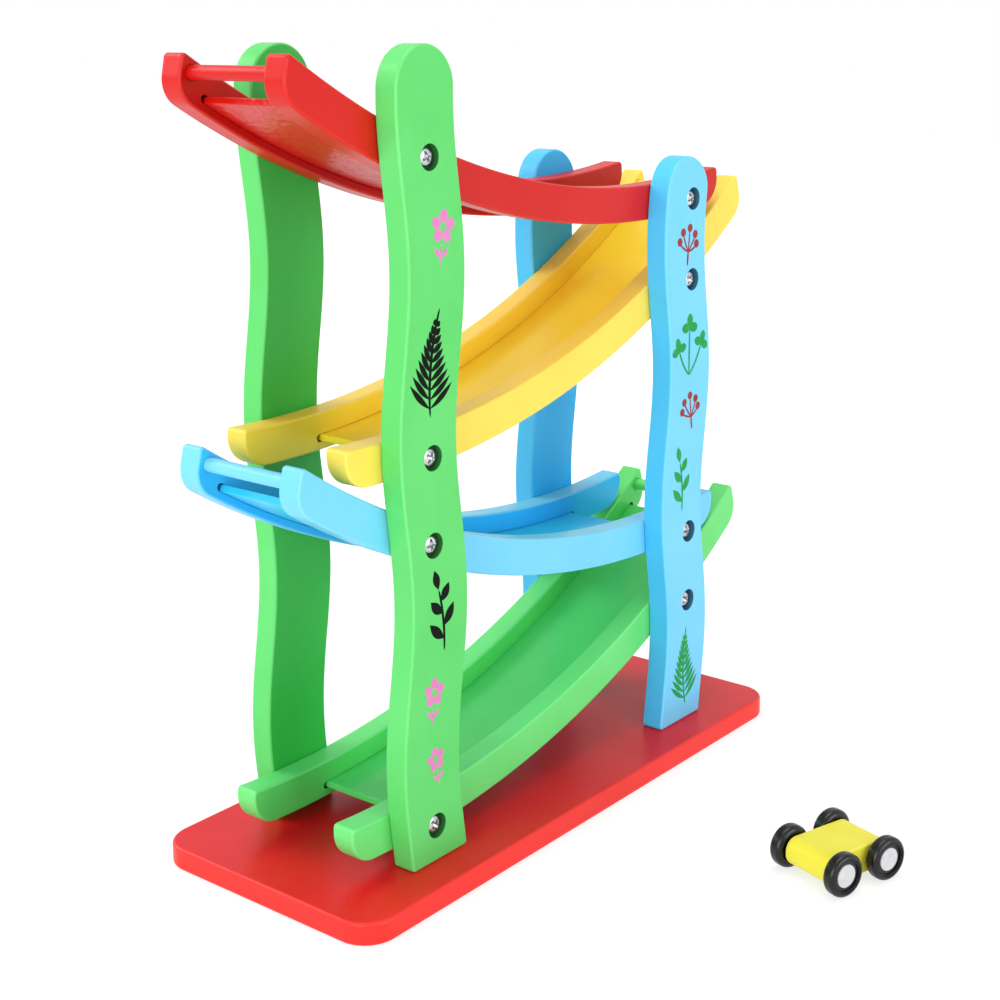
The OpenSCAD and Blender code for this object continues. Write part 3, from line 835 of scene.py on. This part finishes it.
@dataclass
class Screw:
    """Pan-head screw with a cross recess and a turned thread."""

    length: float
    head_d: float = 7.0
    head_h: float = 2.0
    dome_bulge: float = 3.4
    dome_fall: float = 0.42
    dome_rows: int = 44
    dome_lean: float = 0.35
    shank_d: float = 3.0
    root_d: float = 2.3
    point_l: float = 2.4
    point_share: float = 0.12
    pitch: float = 1.25
    rows_per_turn: int = 8
    columns: int = 36
    wing_l: float = 2.15
    wing_w: float = 0.42
    wing_fall: float = 2.2
    recess: float = 1.25
    wall: float = 0.16

    def head(self, shell: Shell) -> None:
        """Adds the domed head, h (1 - (r / R) ** bulge) ** fall, less the cross.

        A bar of the cross has its full depth in its middle and slopes to nothing at its sides, by
        s s (3 - 2 s), and at its end.

        Args:
            shell: the skin, with c out of the head.
        """
        radius = self.head_d / 2
        reach = radius * np.sin(np.linspace(0, np.pi / 2, self.dome_rows))[:, None]
        a, b = (reach * part for part in ring(ROUND_STEPS).T)
        dome = self.head_h * (1 - (reach / radius) ** self.dome_bulge).clip(0) ** self.dome_fall
        bars = []
        for along, across in ((a, b), (b, a)):
            sides = ((self.wing_w - abs(across)) / self.wall + 0.5).clip(0, 1)
            ends = (1 - (abs(along) / self.wing_l) ** self.wing_fall).clip(0, 1)
            bars.append(sides * sides * (3 - 2 * sides) * ends)
        points = np.stack([a, b, dome - self.recess * np.maximum(*bars)], -1)
        shell.tube(points, np.stack([a / radius, b / radius, np.full(a.shape, self.dome_lean)], -1))

    def shank(self, shell: Shell) -> None:
        """Adds the seat ring, the threaded shank and the point.

        The radius at depth d and angle t is the root plus a ridge: a triangle wave of d / pitch - t / 360.

        Args:
            shell: the skin, with c out of the head.
        """
        radius, root = self.shank_d / 2, self.root_d / 2
        ways = ring(self.columns)
        depths = np.linspace(0, self.length, int(self.length / self.pitch * self.rows_per_turn))[:, None]
        phase = (depths / self.pitch - np.arange(self.columns) / self.columns) % 1
        ridge = (1 - np.abs(phase - 0.5) * 4).clip(0)
        plain = (1 - depths / (2 * self.pitch)).clip(0)
        taper = ((self.length - depths) / self.point_l).clip(self.point_share, 1)
        reach = np.maximum(root + (radius - root) * ridge, radius * np.minimum(plain * 4, 1)) * taper
        heights = np.broadcast_to(-depths, reach.shape)
        points = np.concatenate([reach[..., None] * ways, heights[..., None]], -1)
        shell.tube(points, np.broadcast_to(np.insert(ways, 2, 0.0, -1), points.shape))
        shell.flat([ring(ROUND_STEPS) * self.head_d / 2, radius * ways], 0.0, -1)
        shell.flat([points[-1, :, :2]], -self.length, -1)

    def build(self, name: str, places: list[Place]) -> None:
        """Makes one piece of several such screws.

        Args:
            name: the node that they stand for.
            places: each screw's place, with the origin under its head and c out of it.
        """
        shell = Shell()
        for place in places:
            shell.place = place
            self.head(shell)
            self.shank(shell)
        dress(shell, name, "track", ZINC_STEEL)


@dataclass
class Plate:
    """Base plate with round corners, softened edges and sunk screw holes below."""

    length: float = 245.0
    depth: float = 100.0
    thickness: float = 8.0
    corner_r: float = 12.0
    edge_r: float = 1.2
    sink_d: float = 9.0
    sink: float = 3.2
    bore_d: float = 3.1
    screw_l: float = 20.0
    first_turn: float = 11.0
    screw_turn: float = 29.0
    corner_steps: int = 16
    edge_steps: int = 7
    finish: Lacquer = BASE_LACQUER

    def build(self, spots: list[tuple[float, float]]) -> None:
        """Makes the plate with a stepped hole at each spot, and its screws, each turned on from the last.

        Args:
            spots: places of the screws along and across the base.
        """
        x, y, r = self.length / 2, self.depth / 2, self.corner_r
        line = rounded([(-x, -y, r), (x, -y, r), (x, y, r), (-x, y, r)], self.corner_steps)
        holes = [drill(-1, spot, (self.sink_d, self.sink), (self.bore_d, self.thickness)) for spot in spots]
        places = []
        for k, spot in enumerate(spots):
            turn = math.radians(self.first_turn + self.screw_turn * k)
            a, b = math.cos(turn), math.sin(turn)
            places.append(Place((*spot, self.sink), (a, b, 0), (-b, a, 0), (0, 0, -1)))
        Screw(self.screw_l).build("base_screws", places)
        shell = Shell(Place((0, 0, self.thickness / 2)))
        board(shell, line, self.thickness, self.edge_r, holes, self.edge_steps)
        dress(shell, "base_plate", "track", self.finish)


@dataclass
class Ramp:
    """Ramp: two rails cut to a wide arc, the curved floor in their grooves and the dowel at the high tip."""

    name: str
    middle_x: float
    height: float
    tilt: float
    high_left: bool
    finish: Lacquer
    floor_finish: Lacquer
    channel_w: float = 37.0
    rail_t: float = 9.0
    rail_h: float = 13.4
    chord_l: float = 240.5
    sweep_r: float = 350.8
    tip_r: float = 9.5
    toe_r: float = 10.5
    ease_r: float = 1.5
    edge_r: float = 0.9
    floor_t: float = 2.5
    floor_drop: float = 7.8
    floor_corner_r: float = 0.5
    floor_edge_r: float = 0.3
    tongue: float = 2.8
    groove_gap: float = 0.1
    groove_run: float = 0.5
    groove_rim: float = 0.12
    drop_gap: float = 35.5
    tip_gap: float = 15.5
    dowel_d: float = 4.8
    dowel_drop: float = 4.2
    dowel_in: float = 6.5
    dowel_seat: float = 5.0
    dowel_gap: float = 0.05
    dowel_ease: float = 0.4
    seat_rim: float = 0.3
    bore_d: float = 3.1
    bore_depth: float = 7.05
    arc_steps: int = 96
    floor_steps: int = 90
    corner_steps: int = 8
    groove_steps: int = 6
    fine_steps: int = 4

    @property
    def end_turn(self) -> float:
        """Angle from the arcs' lowest point to an end: asin(chord / 2 / radius)."""
        return math.degrees(math.asin(self.chord_l / 2 / self.sweep_r))

    @property
    def centre(self) -> Array:
        """Middle of the arcs over the middle of the chord."""
        return np.array([0.0, math.sqrt(self.sweep_r ** 2 - self.chord_l ** 2 / 4)])

    @property
    def floor_r(self) -> float:
        """Radius of the floor's upper face."""
        return self.sweep_r + self.floor_drop

    def placed(self, line: Outline) -> Outline:
        """A line of the ramp's own side view in the toy's: tilted, and mirrored if its tip is at the right.

        Args:
            line: the line in the ramp's own view.

        Returns:
            The line in the toy's side view.
        """
        cos, sin = math.cos(math.radians(self.tilt)), math.sin(math.radians(self.tilt))
        way = 1 if self.high_left else -1
        turn = np.array([[way * cos, way * sin], [-sin, cos]])
        return line.moved(turn, np.array([self.middle_x, self.height]))

    def placed_spot(self, spot: Array) -> Array:
        """A point of the ramp's own side view, in the toy's."""
        return self.placed(Outline(spot, spot)).points

    def middle_z(self, x: float) -> float:
        """Height of the rails' middle line at a place along the base, on a circle about the arcs' middle."""
        centre = self.placed_spot(self.centre)
        return centre[1] - math.sqrt((self.sweep_r + self.rail_h / 2) ** 2 - (x - centre[0]) ** 2)

    def corner(self, at_r: float, radius: float, low_end: bool, top: bool) -> tuple[float, Outline]:
        """Round corner whose middle lies on the radius at_r and which touches the ramp's end line.

        The low end is cut along a radius, so the middle's angle from the arcs' lowest point is
        end_turn - asin(radius / at_r). The tip is cut square to the chord: asin((chord / 2 - radius) / at_r).

        Args:
            at_r: radius of the corner's middle about the arcs' middle.
            radius: the corner's own.
            low_end: whether it is at the low end, the right in the ramp's own view.
            top: whether it joins the hollow top edge.

        Returns:
            The middle's angle in degrees, and the corner, counterclockwise.
        """
        away = math.degrees(math.asin((self.chord_l / 2 - radius) / at_r))
        side, stop = -1, 90.0
        if low_end:
            away = self.end_turn - math.degrees(math.asin(radius / at_r))
            side, stop = 1, self.end_turn + 90
        found = arc(self.centre + at_r * down_turned(side * away), radius, side * (away + 180 * top),
                    side * stop, self.corner_steps)
        return side * away, found.backwards() if low_end == top else found

    def rail_line(self) -> Outline:
        """Side view of a rail: the underside's arc, the toe, the hollow top edge's arc and the tip.

        Returns:
            The closed outline in the ramp's own view.
        """
        under_r, ease_at = self.sweep_r + self.rail_h, self.sweep_r + self.ease_r
        (toe_turn, toe), (low_turn, low_ease), (high_turn, high_ease), (tip_turn, tip) = [
            self.corner(at_r, radius, low_end, top) for at_r, radius, low_end, top in (
                (under_r - self.toe_r, self.toe_r, True, False), (ease_at, self.ease_r, True, True),
                (ease_at, self.ease_r, False, True), (under_r - self.tip_r, self.tip_r, False, False))]
        return joined(
            arc(self.centre, under_r, tip_turn, toe_turn, self.arc_steps), toe, low_ease,
            arc(self.centre, self.sweep_r, low_turn, high_turn, self.arc_steps, hollow=True), high_ease, tip)

    def strip(self, overlap: float, gap: float, r: float, slip: float, steps: int) -> Outline:
        """Side view of the floor or its groove: a band between two arcs, with a round at each corner.

        Args:
            overlap: angle by which it is longer than the floor at each end, in degrees.
            gap: distance of its arcs from the floor's faces.
            r: radius of its corners.
            slip: angle from each end to the corners' middles.
            steps: chords in a corner.

        Returns:
            The closed outline in the ramp's own view.
        """
        first = math.degrees(self.tip_gap / self.floor_r) - self.end_turn - overlap
        last = self.end_turn - math.degrees(self.drop_gap / self.floor_r) + overlap
        start, stop = first + slip, last - slip
        inner, outer = self.floor_r - gap, self.floor_r + self.floor_t + gap
        corners = [arc(self.centre + at_r * down_turned(turn), r, low, high, steps)
                   for at_r, turn, low, high in (
                       (outer - r, stop, stop, last + 90), (inner + r, stop, last + 90, stop + 180),
                       (inner + r, start, start + 180, first + 270), (outer - r, start, first - 90, start))]
        return joined(
            arc(self.centre, outer, start, stop, self.floor_steps), *corners[:2],
            arc(self.centre, inner, stop, start, self.floor_steps, hollow=True), *corners[2:])

    def build(self, post_screws: list[float]) -> None:
        """Makes both rails, the floor and the dowel.

        Args:
            post_screws: places along the base where a screw enters the rails.
        """
        run, half = math.degrees(self.groove_run / self.floor_r), self.floor_t / 2 + self.groove_gap
        cut = self.placed(self.strip(run, self.groove_gap, half, 0.0, self.groove_steps))
        turn = math.degrees(self.dowel_in / self.sweep_r) - self.end_turn
        x, z = self.placed_spot(self.centre + (self.sweep_r + self.dowel_drop) * down_turned(turn))
        pockets = [
            Pocket(-1, [(Outline(cut.points, -cut.normals), self.tongue + self.groove_gap)], self.groove_rim),
            drill(-1, (x, z), (self.dowel_d + 2 * self.dowel_gap, self.dowel_seat), rim=self.seat_rim),
            *(drill(1, (at, self.middle_z(at)), (self.bore_d, self.bore_depth)) for at in post_screws)]
        for side, word in ((-1, "front"), (1, "back")):
            shell = Shell(Place.upright(0, side * (self.channel_w + self.rail_t) / 2, 0, side))
            board(shell, self.placed(self.rail_line()), self.rail_t, self.edge_r, pockets)
            dress(shell, f"{self.name}_rail_{word}", "track", self.finish)
        slip = math.degrees(self.floor_corner_r / self.floor_r)
        line = self.placed(self.strip(0.0, 0.0, self.floor_corner_r, slip, self.fine_steps))
        shell = Shell(Place.upright(0, 0, 0))
        board(shell, line, self.channel_w + 2 * self.tongue, self.floor_edge_r, edge_steps=3)
        dress(shell, f"{self.name}_floor", "track", self.floor_finish)
        half = self.channel_w / 2 + self.dowel_seat - self.dowel_gap
        r, ease = self.dowel_d / 2, self.dowel_ease
        profile = rounded(
            [(0, -half, 0), (r, -half, ease), (r, half, ease), (0, half, 0)], self.fine_steps, closed=False)
        shell = Shell(Place.upright(x, 0, z)).revolve(profile, closed=False, steps=64)
        dress(shell, f"{self.name}_dowel", "track", self.finish)


@dataclass
class Post:
    """Wavy post of each side: its outline, its sunk screws and its prints."""

    name: str
    middle_x: float
    height: float
    swing: float
    wave: float
    crest: float
    screw_shift: float
    slot: str
    finish: Lacquer
    prints: list[Print] = field(default_factory=list)
    lean: float = 3.0 / 272.0
    width: float = 27.5
    thickness: float = 9.0
    foot: float = 8.0
    foot_r: float = 1.2
    edge_r: float = 0.9
    inner_y: float = 27.5
    sink_d: float = 8.6
    sink: float = 3.0
    bore_d: float = 3.1
    screw_l: float = 13.0
    first_turn: float = 23.0
    screw_turn: float = 37.0
    screw_gap: float = 14.0
    foot_steps: int = 6
    side_steps: int = 80
    crown_steps: int = 48

    def screw_spot(self, ramp: Ramp) -> tuple[float, float]:
        """Place along the base and height of the screw that holds a ramp, with the lean at its height.

        Args:
            ramp: the ramp that it holds.

        Returns:
            The spot in side view.
        """
        upright = self.middle_x + self.screw_shift
        x = upright + self.lean * (ramp.middle_z(upright) - self.foot)
        return x, ramp.middle_z(x)

    @property
    def middle_y(self) -> float:
        """Distance of the post's middle from the middle plane."""
        return self.inner_y + self.thickness / 2

    def wave_x(self, z: Array | float) -> Array | float:
        """Middle of the post at a height: x + lean (z - foot) + swing cos(2 pi (z - crest) / wave)."""
        swung = self.swing * np.cos(2 * np.pi * (z - self.crest) / self.wave)
        return self.middle_x + self.lean * (z - self.foot) + swung

    def slope(self, z: Array | float) -> Array | float:
        """Slope of the middle at a height, the wave's derivative."""
        pull = 2 * np.pi / self.wave
        return self.lean - self.swing * pull * np.sin(pull * (z - self.crest))

    def line(self) -> Outline:
        """Outline of the post, counterclockwise from its foot.

        An eased corner of the foot touches the bottom and the slope of its side. A side is the wave at half
        the width, with normals square to its slope. The top is a half circle whose middle leaves the wave
        with its slope: at a height h over the start it is shifted by slope h (1 - h / R) ** 2, so that the
        sides run on smoothly.

        Returns:
            The closed outline.
        """
        radius, low, feet, sides = self.width / 2, self.foot + self.foot_r, [], []
        start, slope = self.height - radius, float(self.slope(low))
        lean, reach = math.degrees(math.atan(slope)), radius - self.foot_r * math.hypot(1, slope)
        for way, first, last, joint in ((1, 0.0, 90.0 - lean, -1), (-1, 270.0 - lean, 360.0, 0)):
            foot = arc((self.wave_x(low) + way * reach, low), self.foot_r, first, last, self.foot_steps)
            z = np.linspace(foot.points[joint, 1], start, self.side_steps + 1)
            normals = unit(np.stack([np.full_like(z, way), -way * self.slope(z)], -1))
            feet.append(foot)
            sides.append(Outline(np.stack([self.wave_x(z) + way * radius, z], -1), normals))
        turns = np.radians(np.linspace(0, 180, self.crown_steps + 1))
        rise = radius * np.sin(turns)
        shift = self.slope(start) * rise * (1 - rise / radius) ** 2
        points = np.stack([self.wave_x(start) + shift + radius * np.cos(turns), start + rise], -1)
        crown = Outline(points, unit(right_of(np.gradient(points, turns, axis=0, edge_order=2))))
        return joined(feet[0], sides[0], crown, sides[1].backwards(), feet[1])

    def base_spots(self) -> list[tuple[float, float]]:
        """Places along and across the base of the four screws under the two posts."""
        middle, gap = float(self.wave_x(self.foot)), self.screw_gap / 2
        return [(x, side * self.middle_y) for side in (-1, 1) for x in (middle - gap, middle + gap)]

    def build(self, ramps: list[Ramp]) -> None:
        """Makes the front and the back post with their prints and their screws, each turned on from the last.

        Args:
            ramps: the ramps that they hold.
        """
        spots = [self.screw_spot(ramp) for ramp in ramps]
        holes = [drill(1, spot, (self.sink_d, self.sink), (self.bore_d, self.thickness)) for spot in spots]
        for side, word in ((-1, "front"), (1, "back")):
            place = Place.upright(0, side * self.middle_y, 0, side)
            shell = board(Shell(place), self.line(), self.thickness, self.edge_r, holes)
            dress(shell, f"{self.name}_post_{word}", "track", self.finish)
            seat = side * (self.inner_y + self.thickness - self.sink)
            Screw(self.screw_l).build(f"{self.name}_{word}_screws", [
                Place.upright(x, seat, z, side, self.first_turn + self.screw_turn * k)
                for k, (x, z) in enumerate(spots)])
            for ink in (ink for ink in Ink if ink in [motif.ink for motif in self.prints]):
                shell = Shell(place)
                for motif in (motif for motif in self.prints if motif.ink is ink):
                    motif.lay(shell, float(self.wave_x(motif.height + motif.size / 2)), self.thickness / 2)
                name = f"{self.name}_{word}_{ink.name.lower()}_print"
                dress(shell, name, "track", ink.value, node=False)


@dataclass
class Car:
    """Flat wooden car with two free axles and four wheels."""

    x: float = 15.0
    y: float = -138.5
    turn: float = -16.5
    width: float = 30.0
    wheel_base: float = 20.0
    body_l: float = 30.0
    body_t: float = 10.0
    end_r: float = 4.6
    edge_r: float = 0.7
    side_gap: float = 0.5
    wheel_d: float = 15.0
    tyre_w: float = 5.0
    tyre_bore: float = 10.4
    inner_shoulder_r: float = 1.9
    outer_shoulder_r: float = 1.55
    line_in: float = 1.6
    line_w: float = 0.22
    line_depth: float = 0.45
    lip_w: float = 0.28
    lip_drop: float = 0.12
    bead_drop: float = 0.4
    rim_w: float = 3.9
    rim_inset: float = 0.3
    cap_d: float = 8.0
    cap_h: float = 1.3
    cap_seat: float = 1.0
    axle_d: float = 2.0
    axle_ease: float = 0.2
    axle_gap: float = 0.08
    press_gap: float = 0.03

    def place(self, ahead: float, side: int) -> Place:
        """Axes about a wheel's axis, or the car's middle where ahead is zero, with c out to a side.

        Args:
            ahead: distance of the origin ahead of the car's middle.
            side: 1 for the left, -1 for the right.

        Returns:
            The place.
        """
        a, b = math.cos(math.radians(self.turn)), math.sin(math.radians(self.turn))
        origin = (self.x + ahead * a, self.y + ahead * b, self.wheel_d / 2)
        return Place(origin, (a, b, 0), (0, 0, 1), (-b * side, a * side, 0))

    def build(self) -> None:
        """Makes the body, the axles and the wheels."""
        x, z, r = self.body_l / 2, self.body_t / 2, self.end_r
        body_w = self.width - 2 * (self.tyre_w + self.side_gap)
        line = rounded([(-x, -z, r), (x, -z, r), (x, z, r), (-x, z, r)], 12)
        bore_d = self.axle_d + 2 * self.axle_gap
        bores = [drill(1, (end * self.wheel_base / 2, 0.0), (bore_d, body_w)) for end in (-1, 1)]
        shell = board(Shell(self.place(0.0, 1)), line, body_w, self.edge_r, bores)
        dress(shell, "car_body", "car", CAR_LACQUER)
        inner = self.width / 2 - self.tyre_w + self.rim_inset + self.rim_w - self.cap_seat
        half, r, ease = inner - self.press_gap, self.axle_d / 2, self.axle_ease
        wire = rounded([(0, -half, 0), (r, -half, ease), (r, half, ease), (0, half, 0)], 3, closed=False)
        for end, word in ((1, "front"), (-1, "rear")):
            body, ahead = f"{word}_wheels", end * self.wheel_base / 2
            axle = Shell(self.place(ahead, 1)).revolve(wire, closed=False, steps=48)
            dress(axle, f"{word}_axle", body, AXLE_STEEL)
            for side, hand in ((1, "left"), (-1, "right")):
                self.build_wheel(self.place(ahead, side), f"{word}_{hand}", body)

    def build_wheel(self, place: Place, name: str, body: str) -> None:
        """Makes a wheel: the tyre, with a fine line and a lip on its side, the dished rim and the hub cap.

        Args:
            place: the axle's axes, with c out of the car.
            name: the wheel's name in its nodes.
            body: the body that it turns with.
        """
        inner, outer = self.width / 2 - self.tyre_w, self.width / 2
        bore, reach = self.tyre_bore / 2, self.wheel_d / 2
        line = reach - self.line_in
        groove, lip = line - self.line_w, line - self.line_w - self.lip_w
        tyre = rounded([
            (bore, inner, 0.25), (reach, inner, self.inner_shoulder_r), (reach, outer, self.outer_shoulder_r),
            (line, outer, 0.04), (line, outer - self.line_depth, 0.08),
            (groove, outer - self.line_depth, 0.08), (groove, outer - self.lip_drop, 0.06),
            (lip, outer - self.lip_drop, 0.06), (lip, outer - self.bead_drop, 0.05),
            (bore, outer - self.bead_drop, 0.05)], 8)
        dress(Shell(place).revolve(tyre, steps=120), f"{name}_tyre", body, TYRE_RUBBER)
        low, high, out = inner + self.rim_inset, inner + self.rim_inset + self.rim_w, bore - self.press_gap
        hole, seat = self.axle_d / 2 + self.press_gap, self.cap_d / 2 + self.press_gap
        floor = high - self.cap_seat
        rim = rounded([(hole, low, 0.1), (out, low, 0.1), (out, high, 0.15), (seat, high, 0.12),
                       (seat, floor, 0.05), (hole, floor, 0.05)], 4)
        dress(Shell(place).revolve(rim), f"{name}_rim", body, RIM_PLASTIC)
        radius, top = self.cap_d / 2, floor + self.cap_h
        cap = rounded([(0, floor, 0), (radius, floor, 0.1), (radius, top, 0.3), (0, top, 0)], 5, closed=False)
        dress(Shell(place).revolve(cap, closed=False), f"{name}_cap", body, CAP_PLASTIC)


@dataclass(frozen=True)
class SoftBox:
    """Square area lamp: where it stands, its side, its power and what it looks at, in metres and watts."""

    name: str
    spot: Triple
    side: float
    power: float
    aim: Triple = (0.0, 0.0, 0.12)

    def build(self) -> None:
        """Makes the lamp."""
        lamp = bpy.data.lights.new(self.name, "AREA")
        lamp.shape, lamp.size, lamp.energy = "SQUARE", self.side, self.power
        made = bpy.data.objects.new(self.name, lamp)
        made.location = self.spot
        made.rotation_euler = (Vector(self.aim) - Vector(self.spot)).to_track_quat("-Z", "Y").to_euler()
        bpy.context.scene.collection.objects.link(made)


@dataclass
class Studio:
    """Camera at the photograph's place, soft boxes, a pale floor and a white surround."""

    camera_at: Triple = (-484.86, -399.79, 291.4)
    yaw: float = 39.511
    pitch: float = 10.555
    roll: float = 0.746
    focal_px: float = 1751.7
    principal_px: tuple[float, float] = (487.0, 331.2)
    frame_px: float = 1000.0
    sensor: float = 36.0
    floor_side: float = 6.0
    floor_colour: str = "#f2f2f2"
    floor_dim: float = 0.36
    floor_glow: float = 0.72
    white_from: tuple[float, float] = (0.2, 0.6)
    surround: float = 0.5
    boxes: tuple[SoftBox, ...] = (
        SoftBox("left_soft_box", (-1.55, -0.35, 0.4), 1.0, 14.0),
        SoftBox("front_soft_box", (0.15, -1.6, 0.3), 1.0, 12.5),
        SoftBox("top_soft_box", (0.1, 0.1, 1.7), 1.2, 11.0),
        SoftBox("back_soft_box", (-0.6, 1.6, 1.1), 1.1, 18.0),
    )

    def build_camera(self) -> None:
        """Makes the camera, which is rolled, tipped up from looking down and then turned to its yaw."""
        lens = bpy.data.cameras.new("photograph_camera")
        lens.sensor_width = self.sensor
        lens.lens = self.focal_px * self.sensor / self.frame_px
        lens.shift_x = 0.5 - self.principal_px[0] / self.frame_px
        lens.shift_y = self.principal_px[1] / self.frame_px - 0.5
        made = bpy.data.objects.new("photograph_camera", lens)
        turn = Matrix.Translation(Vector(self.camera_at) * MM)
        for degrees, axis in ((self.yaw - 90, "Z"), (90 - self.pitch, "X"), (-self.roll, "Z")):
            turn = turn @ Matrix.Rotation(math.radians(degrees), 4, axis)
        made.matrix_world = turn
        bpy.context.scene.collection.objects.link(made)
        bpy.context.scene.camera = made

    def build_floor(self) -> None:
        """Makes the floor: white to the camera and to reflections but for the soft shadow, pale to the light.

        Its glow rises with the distance from the toy, so that the far floor runs into the white surround.
        """
        half = self.floor_side / 2
        mesh = bpy.data.meshes.new("studio_floor")
        corners = [(-half, -half, 0), (half, -half, 0), (half, half, 0), (-half, half, 0)]
        mesh.from_pydata(corners, [], [(0, 1, 2, 3)])
        floor = bpy.data.objects.new("studio_floor", mesh)
        bpy.context.scene.collection.objects.link(floor)
        made, tree, spot = new_material("pale_studio_floor")
        bounce, dim = [add_node(tree, "ShaderNodeBsdfDiffuse", values={"Color": colour})
                       for colour in (linear(self.floor_colour), (*[self.floor_dim] * 3, 1.0))]
        distance = add_node(tree, "ShaderNodeVectorMath", {"operation": "LENGTH"}, {0: spot}).outputs["Value"]
        strength = add_node(tree, "ShaderNodeMapRange", values={
            "Value": distance, "From Min": self.white_from[0], "From Max": self.white_from[1],
            "To Min": self.floor_glow, "To Max": 1.0})
        glow = add_node(tree, "ShaderNodeEmission", values={"Color": linear("#ffffff"), "Strength": strength})
        bright = add_node(tree, "ShaderNodeAddShader", values={0: dim, 1: glow})
        mixed = add_node(tree, "ShaderNodeMixShader", values={0: self.seen_ray(tree), 1: bounce, 2: bright})
        add_node(tree, "ShaderNodeOutputMaterial", values={"Surface": mixed})
        floor.data.materials.append(made)

    def seen_ray(self, tree: bpy.types.NodeTree) -> bpy.types.Node:
        """A node that gives 1 for what the camera, a reflection or a clear piece shows.

        Args:
            tree: the nodes that it joins.

        Returns:
            The node.
        """
        path = add_node(tree, "ShaderNodeLightPath").outputs
        found = path["Is Camera Ray"]
        for kind in ("Is Glossy Ray", "Is Transmission Ray"):
            found = add_node(tree, "ShaderNodeMath", {"operation": "MAXIMUM"}, {0: found, 1: path[kind]})
        return found

    def build_surround(self) -> None:
        """Makes the world: white where it is seen, softer where it lights the toy."""
        world = bpy.data.worlds.new("white_surround")
        world.use_nodes = True
        tree = world.node_tree
        tree.nodes.clear()
        strength = add_node(tree, "ShaderNodeMapRange", values={
            "Value": self.seen_ray(tree), "To Min": self.surround, "To Max": 1.0})
        light = add_node(tree, "ShaderNodeBackground", values={
            "Color": linear("#ffffff"), "Strength": strength})
        add_node(tree, "ShaderNodeOutputWorld", values={"Surface": light})
        bpy.context.scene.world = world

    def build(self) -> None:
        """Makes the whole studio and sets the plain view transform."""
        self.build_camera()
        self.build_floor()
        self.build_surround()
        for box in self.boxes:
            box.build()
        bpy.context.scene.view_settings.view_transform = "Standard"


def make_ramps() -> list[Ramp]:
    """The four ramps with their real places and tilts, each with its grain along its chord.

    A floor has a glossier coat with soft ripples, whose relief in millimetres ends its row. Its colours copy
    its rails' colour, retuned for the light in its channel: deeper on the blue and green, a painted shade,
    and brighter on the yellow, a painted light; the red keeps its rails' colour.

    Returns:
        The ramps from the top down.
    """
    ramps = []
    for name, x, z, tilt, high_left, finish, thin, thick, ripple in (
            ("red", -5.5, 253.0, 12.5, True, RED_LACQUER, "#d0110a", "#c40d06", 0.5),
            ("yellow", 11.8, 188.9, 16.5, False, YELLOW_LACQUER, "#ffe83c", "#fcdc2e", 0.1),
            ("blue", -5.9, 124.0, 14.35, True, BLUE_LACQUER, "#2cc8ff", "#22bef8", 0.1),
            ("green", 10.4, 60.8, 15.75, False, GREEN_LACQUER, "#5cd870", "#4ecc62", 0.1)):
        rails = replace(finish, name=f"{finish.name}_rail", grain_tilt=tilt if high_left else -tilt)
        # The floor's colours stand in for the light in its channel: painted shade on blue and green, painted
        # light on yellow
        boards = replace(rails, name=f"{finish.name}_floor", colour=thin, deep=thick, inner=thin,
                         gloss=0.3, gloss_roughness=0.14, peel_width=3.0, peel_relief=ripple)
        ramps.append(Ramp(name, x, z, tilt, high_left, rails, boards))
    return ramps


def make_posts() -> list[Post]:
    """The tall green posts and the short blue ones, with their prints and upright grain.

    Returns:
        Both kinds of post.
    """
    tall = [
        Print(Motif.BLOSSOM, 210.0, 1.5, 18.0, 8.0, Ink.PINK),
        Print(Motif.FERN, 161.0, -2.0, 36.0, 4.0, Ink.BLACK),
        Print(Motif.TWIG, 81.0, 1.0, 28.0, -6.0, Ink.BLACK),
        Print(Motif.BLOSSOM, 57.0, -2.0, 16.0, 6.0, Ink.PINK),
        Print(Motif.BLOSSOM, 35.0, 3.0, 14.0, -10.0, Ink.PINK),
    ]
    short = [
        Print(Motif.BERRIES, 192.0, 1.0, 17.0, 5.0, Ink.RUSSET),
        Print(Motif.CLOVER, 149.0, -1.0, 26.0, 4.0, Ink.GREEN),
        Print(Motif.BERRIES, 127.0, 2.0, 16.0, -8.0, Ink.RUSSET),
        Print(Motif.TWIG, 95.0, -1.0, 26.0, -4.0, Ink.GREEN),
        Print(Motif.FERN, 14.0, 0.0, 33.0, -4.0, Ink.GREEN),
    ]
    # The posts' faces that look at each other take a much deeper inner colour, a painted shade; the blue
    # posts' sawn sides take 0.7 of theirs, a painted shade too
    green = replace(GREEN_LACQUER, name="green_lacquered_ply_post", colour="#62d46e", deep="#54ca60",
                    inner="#38ba4a", grain=Grain.UPRIGHT)
    blue = replace(BLUE_LACQUER, name="blue_lacquered_ply_post", painted_rim_shading=0.7, grain=Grain.UPRIGHT)
    return [
        Post("tall", -73.2, 280.0, 2.5, 110.0, 98.0, -0.8, "green_lacquer", green, tall),
        Post("short", 76.1, 234.0, 2.4, 103.0, 150.0, 2.5, "blue_lacquer", blue, short),
    ]


def main() -> None:
    """Builds the studio, the track and the car, and reports each piece."""
    logging.basicConfig(level=logging.INFO, format="%(name)s: %(message)s")
    Studio().build()
    ramps, posts = make_ramps(), make_posts()
    Plate().build([spot for post in posts for spot in post.base_spots()])
    for ramp in ramps:
        ramp.build([post.screw_spot(ramp)[0] for post in posts])
    for post in posts:
        post.build(ramps)
    Car().build()


if __name__ == "__main__":
    main()
